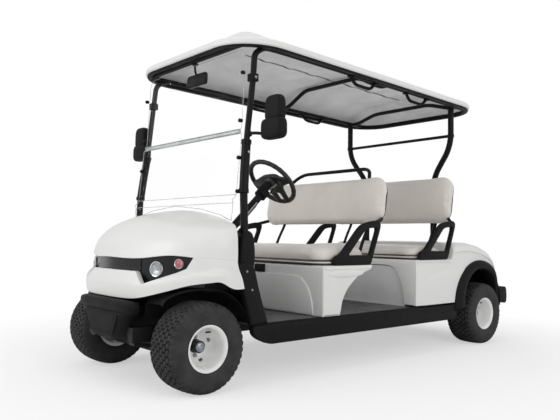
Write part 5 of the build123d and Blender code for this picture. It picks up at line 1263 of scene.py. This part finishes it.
def pillow(half_x, half_y, height, power=3.0, count=40, rings=14):
    """A domed pad: superellipse rings |x/a|^p + |y/b|^p = 1 that shrink as cos t while the height grows as sin t,
    closed underneath."""
    cx, cy = superellipse(count, power)
    t = np.linspace(0, np.pi / 2, rings)
    scale, z = np.r_[0, 1, np.cos(t) ** .35], np.r_[-height * .6, -height * .6, height * np.sin(t)]
    scale[-1] = 0
    return grid(stacked(half_x * cx * scale[:, None], half_y * cy * scale[:, None], z[:, None]), cols=True)


class CART_OT_steering(bpy.types.Operator):
    """Builds the steering wheel with its padded spokes, and the switches on its column"""
    bl_idname = "cart.steering"
    bl_label = "Steering wheel"

    def execute(self, context):
        centre, out = joint_place("steering_wheel_turn"), np.array(JOINTS["steering_wheel_turn"]["axis"])
        right = np.array([1, 0, 0])
        up = np.cross(out, right)
        up = -up if up[2] < 0 else up                # away from the driver, along the dash
        basis = np.array([right, up, out], float)
        rim = torus(sizes().steering_radius - .0145, .0145, .03)
        half = [(.150, .022), (.152, -.016), (.085, -.030), (.062, -.055), (.048, -.150), (.018, -.155), (.020, -.075)]
        spokes = [(-.150, .022), (-.085, .040), (-.05, .052), (.05, .052), (.085, .040), *half,
            *((-x, y) for x, y in half[:0:-1])]
        spokes = plate([softened(spokes, .014, 5, True)], .018, .006, (0, 0, -.006), *FLAT)
        pad = moved(pillow(.082, .052, .020, 3.4), (0, 0, .004))
        lower = moved(pillow(.050, .030, .012, 3.0), (0, -.052, .002))
        hub = turned([(-.034, 0), (-.034, .030), (-.024, .040), (-.010, .046), (-.010, 0)], (0, 0, 0), (0, 0, 1), 32)
        parts = [in_plane(shape, centre, basis) for shape in (rim, spokes, pad, lower, hub)]
        piece("steering_wheel_rim", parts, "skinned_polyurethane", "steering_wheel", ("steering_wheel",))
        at = centre - out * .075
        tip = at + right * .135 + up * .03 + out * .012
        lever = pipe(softened([at + right * .03, at + right * .075 + up * .012, tip], .03),
            np.linspace(.0055, .0042, 9), 12, (0, 0, 1))
        knob = in_plane(pillow(.012, .009, .012, 2.4, 20, 8), tip, basis)
        lock = turned([(0, 0), (0, .014), (.010, .014), (.014, .011), (.014, 0)], at + right * .030 - up * .012,
            right - up * .4, 24)
        collar = pipe([at - right * .042, at - right * .030], .020, 20, (0, 0, 1))
        rods = [pipe([centre - out * .36 + off, centre - out * .19 + off], radius, 12, way)
                for off, radius, way in ((up * -.024, .0045, (1, 0, 0)), (right * .026, .0035, (0, 0, 1)))]
        piece("column_switches", [lever, knob, lock, collar, *rods],
            ["drawn_aluminium", "skinned_polyurethane", "chrome_plate", PLASTIC, "drawn_aluminium", "drawn_aluminium"])
        return {"FINISHED"}


RAIL_X = .520                                    # the roof's side rails
REAR_TOP, REAR_FOOT = (.502, 2.212), (.330, 2.239)    # where a rear strut meets the roof and the deck


def rail_point(y, side=1):
    """A place on the centre line of the roof's side rail, or on the other side's."""
    return side * RAIL_X, y, lip_height(y) + .012


class CART_OT_struts(bpy.types.Operator):
    """Builds the front struts with sleeves and clamps, the roof's tubes, bows and grab handles, and the rear struts'
    feet"""
    bl_idname = "cart.struts"
    bl_label = "Struts and roof frame"

    def execute(self, context):
        r = sizes().tube_radius
        main = [(.572, .222, .640), (.549, .224, 1.017), (.526, .255, 1.292), (.527, .294, 1.639),
            (RAIL_X, .306, 1.775), (RAIL_X, .372, lip_height(.372) + .010), rail_point(.45)]
        main = pipe(softened(main, (0, .1, .1, .1, .03, .05, 0), 8), .0165, 20, (1, 0, 0))
        low = pipe([(.572, .222, .640), (.5495, .224, 1.010)], .0205, 20, (1, 0, 0))
        sleeve = pipe(softened([(.549, .224, 1.017), (.538, .238, 1.155), (.526, .255, 1.292)], .05), .0245, 22,
            (1, 0, 0))
        ends = (((.5495, .2238, 1.012), (.5475, .2245, 1.034)), ((.5275, .253, 1.276), (.526, .2555, 1.297)))
        rings = [pipe(end, .0275, 22, (1, 0, 0)) for end in ends]
        clamp = box((.503, .270, 1.617), (.549, .316, 1.661), .006)
        foot = softened([(.172, .640), (.262, .640), (.250, .745), (.190, .745)], .02, 5, True)
        foot = plate([foot], .012, .004, (.566, 0, 0), *SIDE)
        bolt = [(0, 0), (0, .0085), (.005, .0085), (.007, .005), (.007, 0)]
        places = (((.573, .205, .668), 0), ((.573, .235, .715), 0), ((.549, .293, 1.639), 0),
            ((.552, .2255, 1.06), .05), ((.560, .245, 1.23), .05), ((.5625, .2252, .90), 0))
        bolts = [turned(bolt, at, (1, lean, 0), 6) for at, lean in places]
        piece("front_strut_tubes", both(main, low, sleeve, *rings, clamp, foot, *bolts),
            ([STEEL] * 5 + [PLASTIC, STEEL] + [ZINC] * 6) * 2, stands_for=("front_struts",))
        rail = pipe([rail_point(.262), rail_point(2.40)], r, 18, (1, 0, 0))
        beam = pipe([rail_point(.262, -1), rail_point(.262)], r, 18, (0, 1, 0))
        bows = []
        for y, rise in ((1.44, .110), (2.26, .066)):
            arch = [(x, y, lip_height(y) + (rise if abs(x) < .3 else .012))
                for x in (-RAIL_X, -.46, -.27, .27, .46, RAIL_X)]
            bows.append(pipe(softened(arch, .05, 9), r, 18, (0, 1, 0)))
        handles = []
        for a, b in ((1.08, 1.32), (1.64, 1.88)):
            za, zb = lip_height(a) + .006, lip_height(b) + .006
            grip = softened([(RAIL_X, a, za), (.514, a + .045, za - .052), (.514, b - .045, zb - .052),
                (RAIL_X, b, zb)], .03, 8)
            handles.append(pipe(grip, .0105, 16, (1, 0, 0)))
            handles += [box((.505, y - .018, lip_height(y) - .010), (.537, y + .018, lip_height(y) + .006), .004)
                for y in (a, b)]
        screws = [turned([(0, 0), (0, .006), (.003, .005), (.0035, 0)], (x, .1735, lip_height(.17) - .001), (0, -1, 0),
            14) for x in (.12, .30)]
        piece("roof_tubes", both(rail, *handles, *screws) + [beam, *bows], ([STEEL] + [PLASTIC] * 6 + [ZINC] * 2) * 2
            + [STEEL] * 3, stands_for=("roof_frame",))
        rear = pipe(softened([(*REAR_TOP, 1.765), (*REAR_TOP, 1.478), (*REAR_FOOT, 1.252), (*REAR_FOOT, .752)], .10,
            10), .0215, 22, (0, 1, 0))
        flange = turned([(0, 0), (0, .034), (.006, .034), (.010, .025), (.016, .023), (.016, 0)], (*REAR_FOOT, .7585),
            (0, 0, 1), 28)
        collar = turned([(0, 0), (0, .0245), (.022, .0245), (.024, .0215), (.024, 0)], (*REAR_TOP, 1.545), (0, 0, 1),
            24)
        bar = pipe([(side * REAR_TOP[0], REAR_TOP[1], 1.556) for side in (-1, 1)], .0115, 16, (0, 1, 0))
        screw = [(0, 0), (0, .007), (.004, .0065), (.005, 0)]
        round_foot = [(REAR_FOOT[0] + .027 * math.cos(a), REAR_FOOT[1] + .027 * math.sin(a))
            for a in (.8, 2.4, 3.9, 5.5)]
        feet = [turned(screw, (*at, .7635), (0, 0, 1), 6) for at in round_foot]
        piece("rear_strut_tubes", both(rear, flange, collar, *feet) + [bar], ([STEEL] * 3 + [ZINC] * 4) * 2 + [STEEL],
            stands_for=("rear_struts",))
        return {"FINISHED"}


SILL_TOP, SILL_BOTTOM, SILL_X = .3215, .2155, .580


class CART_OT_lower_trim(bpy.types.Operator):
    """Builds the post covers, the front wheel liners, the dash ends, the ribbed mat and the sills' rails and bolts"""
    bl_idname = "cart.lower_trim"
    bl_label = "Lower trim"

    def execute(self, context):
        outline = softened([(.156, .640), (.205, .655), (.268, .630), (.300, .505), (.366, .324), (.250, .324),
            (.205, .49)], (.02, .03, .04, .15, .01, .01, .1), 8, True)
        cover = plate([outline], .046, .012, (SILL_X, 0, 0), *SIDE)
        end = [(.62, 0, 0, 0), (.62, .026, .046, 0), (.66, .030, .052, .0), (.72, .030, .050, .0),
            (.775, .027, .042, .002), (.800, .020, .030, .004), (.812, .010, .015, .006), (.815, 0, 0, .006)]
        end = oval_stack(end, (.566, .232, 0))
        bolt = [(0, 0), (0, .0065), (.003, .006), (.0045, .004), (.0045, 0)]
        bolts = [turned(bolt, (.603, y, z), (1, 0, 0), 18) for y, z in ((.212, .604), (.248, .508))]
        piece("post_panels", both(cover, end, *bolts), ([PLASTIC] * 2 + [ZINC] * 2) * 2,
            stands_for=("post_covers",))
        # the liner: a path over the tyre, carried across the cart and drawn in where the nose is narrow
        path = softened([(-.176, .440), (-.162, .482), (-.084, .520), (.040, .527), (.130, .505), (.212, .450),
            (.280, .350)], .05, 8)
        x = np.array([.255, .30, .38, .46, .53, .572, .578])
        dip = np.array([-.03, -.004, 0, 0, 0, -.002, -.012])
        reach = np.interp(path[:, 0], [-.176, -.078, .04, .2], [.425, .50, .540, .553])
        x = .255 + (x[:, None] - .255) * (reach[None] - .255) / .323
        liner = stacked(x, path[:, 0], path[:, 1] + dip[:, None])
        inner = liner[:1] * 1.0
        inner[..., 2] = np.minimum(inner[..., 2], .36)
        piece("front_wheel_liners", both(grid(np.concatenate([inner, liner]))), PLASTIC,
            stands_for=("front_liners",), wall=.004)
        piece("nose_baffle", [box((-.43, -.10, .50), (.43, .27, .585), .01),
            *both(box((.42, .02, .50), (.515, .27, .585), .01))], PLASTIC)
        # the mat: ribs along the cart, broken by a smooth gap at every tread line
        x = np.linspace(-.553, .553, 373)
        lines = np.linspace(.34, 1.62, 33)
        y = np.r_[.306, (lines[:, None] + (-.006, -.003, .003, .006)).ravel(), 1.655]
        bars = smoothstep(.5 + .5 * np.cos(2 * np.pi * x / .0178), .35, .75)
        gaps = np.r_[1, np.tile([1, 0, 0, 1], len(lines)), 1]
        mat = stacked(x, y[:, None], .3232 + .0022 * bars * gaps[:, None])
        under = mat[[0, -1]] * (1, 1, 0) + (0, 0, .3222)
        piece("floor_mat", [grid(np.concatenate([under[:1], mat, under[1:]]))], "ribbed_rubber_mat",
            sharp=50)
        side = softened([(.262, SILL_TOP), (2.140, SILL_TOP), (2.140, .240), (2.120, SILL_BOTTOM), (.375, SILL_BOTTOM),
            (.268, .262)], (.002, .002, .02, .01, .03, .06), 8, True)
        rail = plate([side], .040, .005, (SILL_X, 0, 0), *SIDE)
        piece("sill_rails", both(rail), PLASTIC, stands_for=("sills",))
        bolt = [(0, 0), (0, .0065), (.003, .006), (.004, .004), (.004, 0)]
        bolts = [turned(bolt, (.600, y, .270), (1, 0, 0), 14) for y in (.42, .95, 1.50, 1.98)]
        step = softened([(.30, SILL_TOP), (1.66, SILL_TOP), (1.66, SILL_TOP + .005), (.30, SILL_TOP + .005)], .002, 3,
            True)
        step = plate([step], .030, .0015, (.578, 0, 0), *SIDE)
        piece("sill_bolts", both(*bolts, step), ([STEEL] * 4 + [PLASTIC]) * 2)
        return {"FINISHED"}


# ---------------------------------------------------------------- stage

# name, place, power in watts, width
LAMPS = [("key", (-1.5, -6.5, 3.6), 105, 4.0), ("side", (6.8, -1.0, 3.0), 75, 4.0),
         ("top", (0, 0.3, 6.5), 45, 5.0), ("back", (-5.0, 5.0, 3.8), 50, 4.0)]
LAMPS_AIM = (0, 0, .7)
SENSOR, FOCAL_PIXELS, WIDTH_PIXELS = 36, 617.3, 560
CAMERA_TURNS = (138.57, 2.56, -.77)              # yaw, pitch and roll in degrees
CAMERA_PLACE = (3.0968, -3.0637, .7805)


class CART_OT_stage(bpy.types.Operator):
    """Sets the floor, the pale backdrop, the studio lamps and the camera"""
    bl_idname = "cart.stage"
    bl_label = "Stage"

    def execute(self, context):
        scene = context.scene
        scene.view_settings.view_transform = "Standard"
        world = bpy.data.worlds.new("studio")
        scene.world = world
        world.use_nodes = True
        tree = world.node_tree
        tree.nodes.clear()
        path = add(tree, "ShaderNodeLightPath")
        seen = add(tree, "ShaderNodeMath", {0: path.outputs["Is Camera Ray"], 1: path.outputs["Is Transmission Ray"]},
            operation="MAXIMUM")
        level = add(tree, "ShaderNodeMapRange", {"Value": seen.outputs[0], "To Min": .68, "To Max": 1.0})
        light = add(tree, "ShaderNodeBackground", {"Color": (1, 1, 1, 1), "Strength": level.outputs["Result"]})
        add(tree, "ShaderNodeOutputWorld", {"Surface": light.outputs[0]})
        floor = bpy.data.meshes.new("floor_sheet")
        floor.from_pydata([(x, y, 0) for y in (-14, 14) for x in (-14, 14)], [], [(0, 1, 3, 2)])
        # Matt seamless paper: white where the lamps reach it, with the cart's own soft shadow left on it.
        pale = bpy.data.materials.new("seamless_paper")
        pale.use_nodes = True
        tree = pale.node_tree
        tree.nodes.clear()
        path = add(tree, "ShaderNodeLightPath")
        matt = add(tree, "ShaderNodeBsdfDiffuse", {"Color": (.86, .86, .86, 1), "Roughness": 1.0})
        glow = add(tree, "ShaderNodeEmission", {"Color": (1, 1, 1, 1), "Strength": 1.0})
        place = add(tree, "ShaderNodeTexCoord").outputs["Object"]
        far = add(tree, "ShaderNodeVectorMath", {0: place}, operation="LENGTH")
        fade = add(tree, "ShaderNodeMapRange",
            {"Value": far.outputs["Value"], "From Min": 1.4, "From Max": 3.1, "To Min": .5, "To Max": 1.0})
        part = add(tree, "ShaderNodeMath", {0: path.outputs["Is Camera Ray"], 1: fade.outputs["Result"]},
            operation="MULTIPLY")
        mixed = add(tree, "ShaderNodeMixShader", {0: part.outputs[0], 1: matt.outputs[0], 2: glow.outputs[0]})
        add(tree, "ShaderNodeOutputMaterial", {"Surface": mixed.outputs[0]})
        floor.materials.append(pale)
        sheet = bpy.data.objects.new("floor_sheet", floor)
        scene.collection.objects.link(sheet)
        for name, place, power, width in LAMPS:
            lamp_data = bpy.data.lights.new(name, "AREA")
            lamp_data.energy, lamp_data.size = power, width
            lamp_obj = bpy.data.objects.new(name, lamp_data)
            lamp_obj.location = place
            lamp_obj.rotation_euler = Vector(np.subtract(LAMPS_AIM, place)).to_track_quat("-Z", "Y").to_euler()
            scene.collection.objects.link(lamp_obj)
        camera = bpy.data.cameras.new("camera")
        camera.sensor_width, camera.lens = SENSOR, SENSOR * FOCAL_PIXELS / WIDTH_PIXELS
        view = bpy.data.objects.new("camera", camera)
        yaw, pitch, roll = (math.radians(v) for v in CAMERA_TURNS)
        ahead = np.array([math.cos(pitch) * math.cos(yaw), math.cos(pitch) * math.sin(yaw), math.sin(pitch)])
        right = np.cross(ahead, (0, 0, 1))
        right /= np.linalg.norm(right)
        down = np.cross(ahead, right)
        right, down = math.cos(roll) * right + math.sin(roll) * down, -math.sin(roll) * right + math.cos(roll) * down
        turn = np.array([right, -down, -ahead]).T.tolist()
        view.matrix_world = Matrix([[*row, place] for row, place in zip(turn, CAMERA_PLACE)] + [[0, 0, 0, 1]])
        scene.collection.objects.link(view)
        scene.camera = view
        return {"FINISHED"}


class CART_PT_panel(bpy.types.Panel):
    """Lists the sizes, the colours and the pieces in the sidebar"""
    bl_idname = "CART_PT_panel"
    bl_label = "Golf cart"
    bl_space_type = "VIEW_3D"
    bl_region_type = "UI"
    bl_category = "Golf cart"

    def draw(self, context):
        for group in (context.scene.cart_sizes, context.scene.cart_colours):
            column = self.layout.column(align=True)
            for name in group.__annotations__:
                column.prop(group, name)
        for step in STEPS:
            self.layout.operator(step.bl_idname)


STEPS = [CART_OT_finishes, CART_OT_nose, CART_OT_front_bumper, CART_OT_roof, CART_OT_windscreen, CART_OT_mirrors,
         CART_OT_rear_body, CART_OT_front_base, CART_OT_seat_frames, CART_OT_cushions, CART_OT_wheels, CART_OT_steering,
         CART_OT_struts, CART_OT_lower_trim, CART_OT_stage]
CLASSES = [CART_PG_sizes, CART_PG_colours, *STEPS, CART_PT_panel]


def register():
    for kind in CLASSES:
        bpy.utils.register_class(kind)
    bpy.types.Scene.cart_sizes = PointerProperty(type=CART_PG_sizes)
    bpy.types.Scene.cart_colours = PointerProperty(type=CART_PG_colours)


def unregister():
    del bpy.types.Scene.cart_colours, bpy.types.Scene.cart_sizes
    for kind in reversed(CLASSES):
        bpy.utils.unregister_class(kind)


def main():
    register()
    for step in STEPS:
        group, name = step.bl_idname.split(".")
        getattr(getattr(bpy.ops, group), name)()
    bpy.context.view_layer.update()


if __name__ == "__main__":
    main()
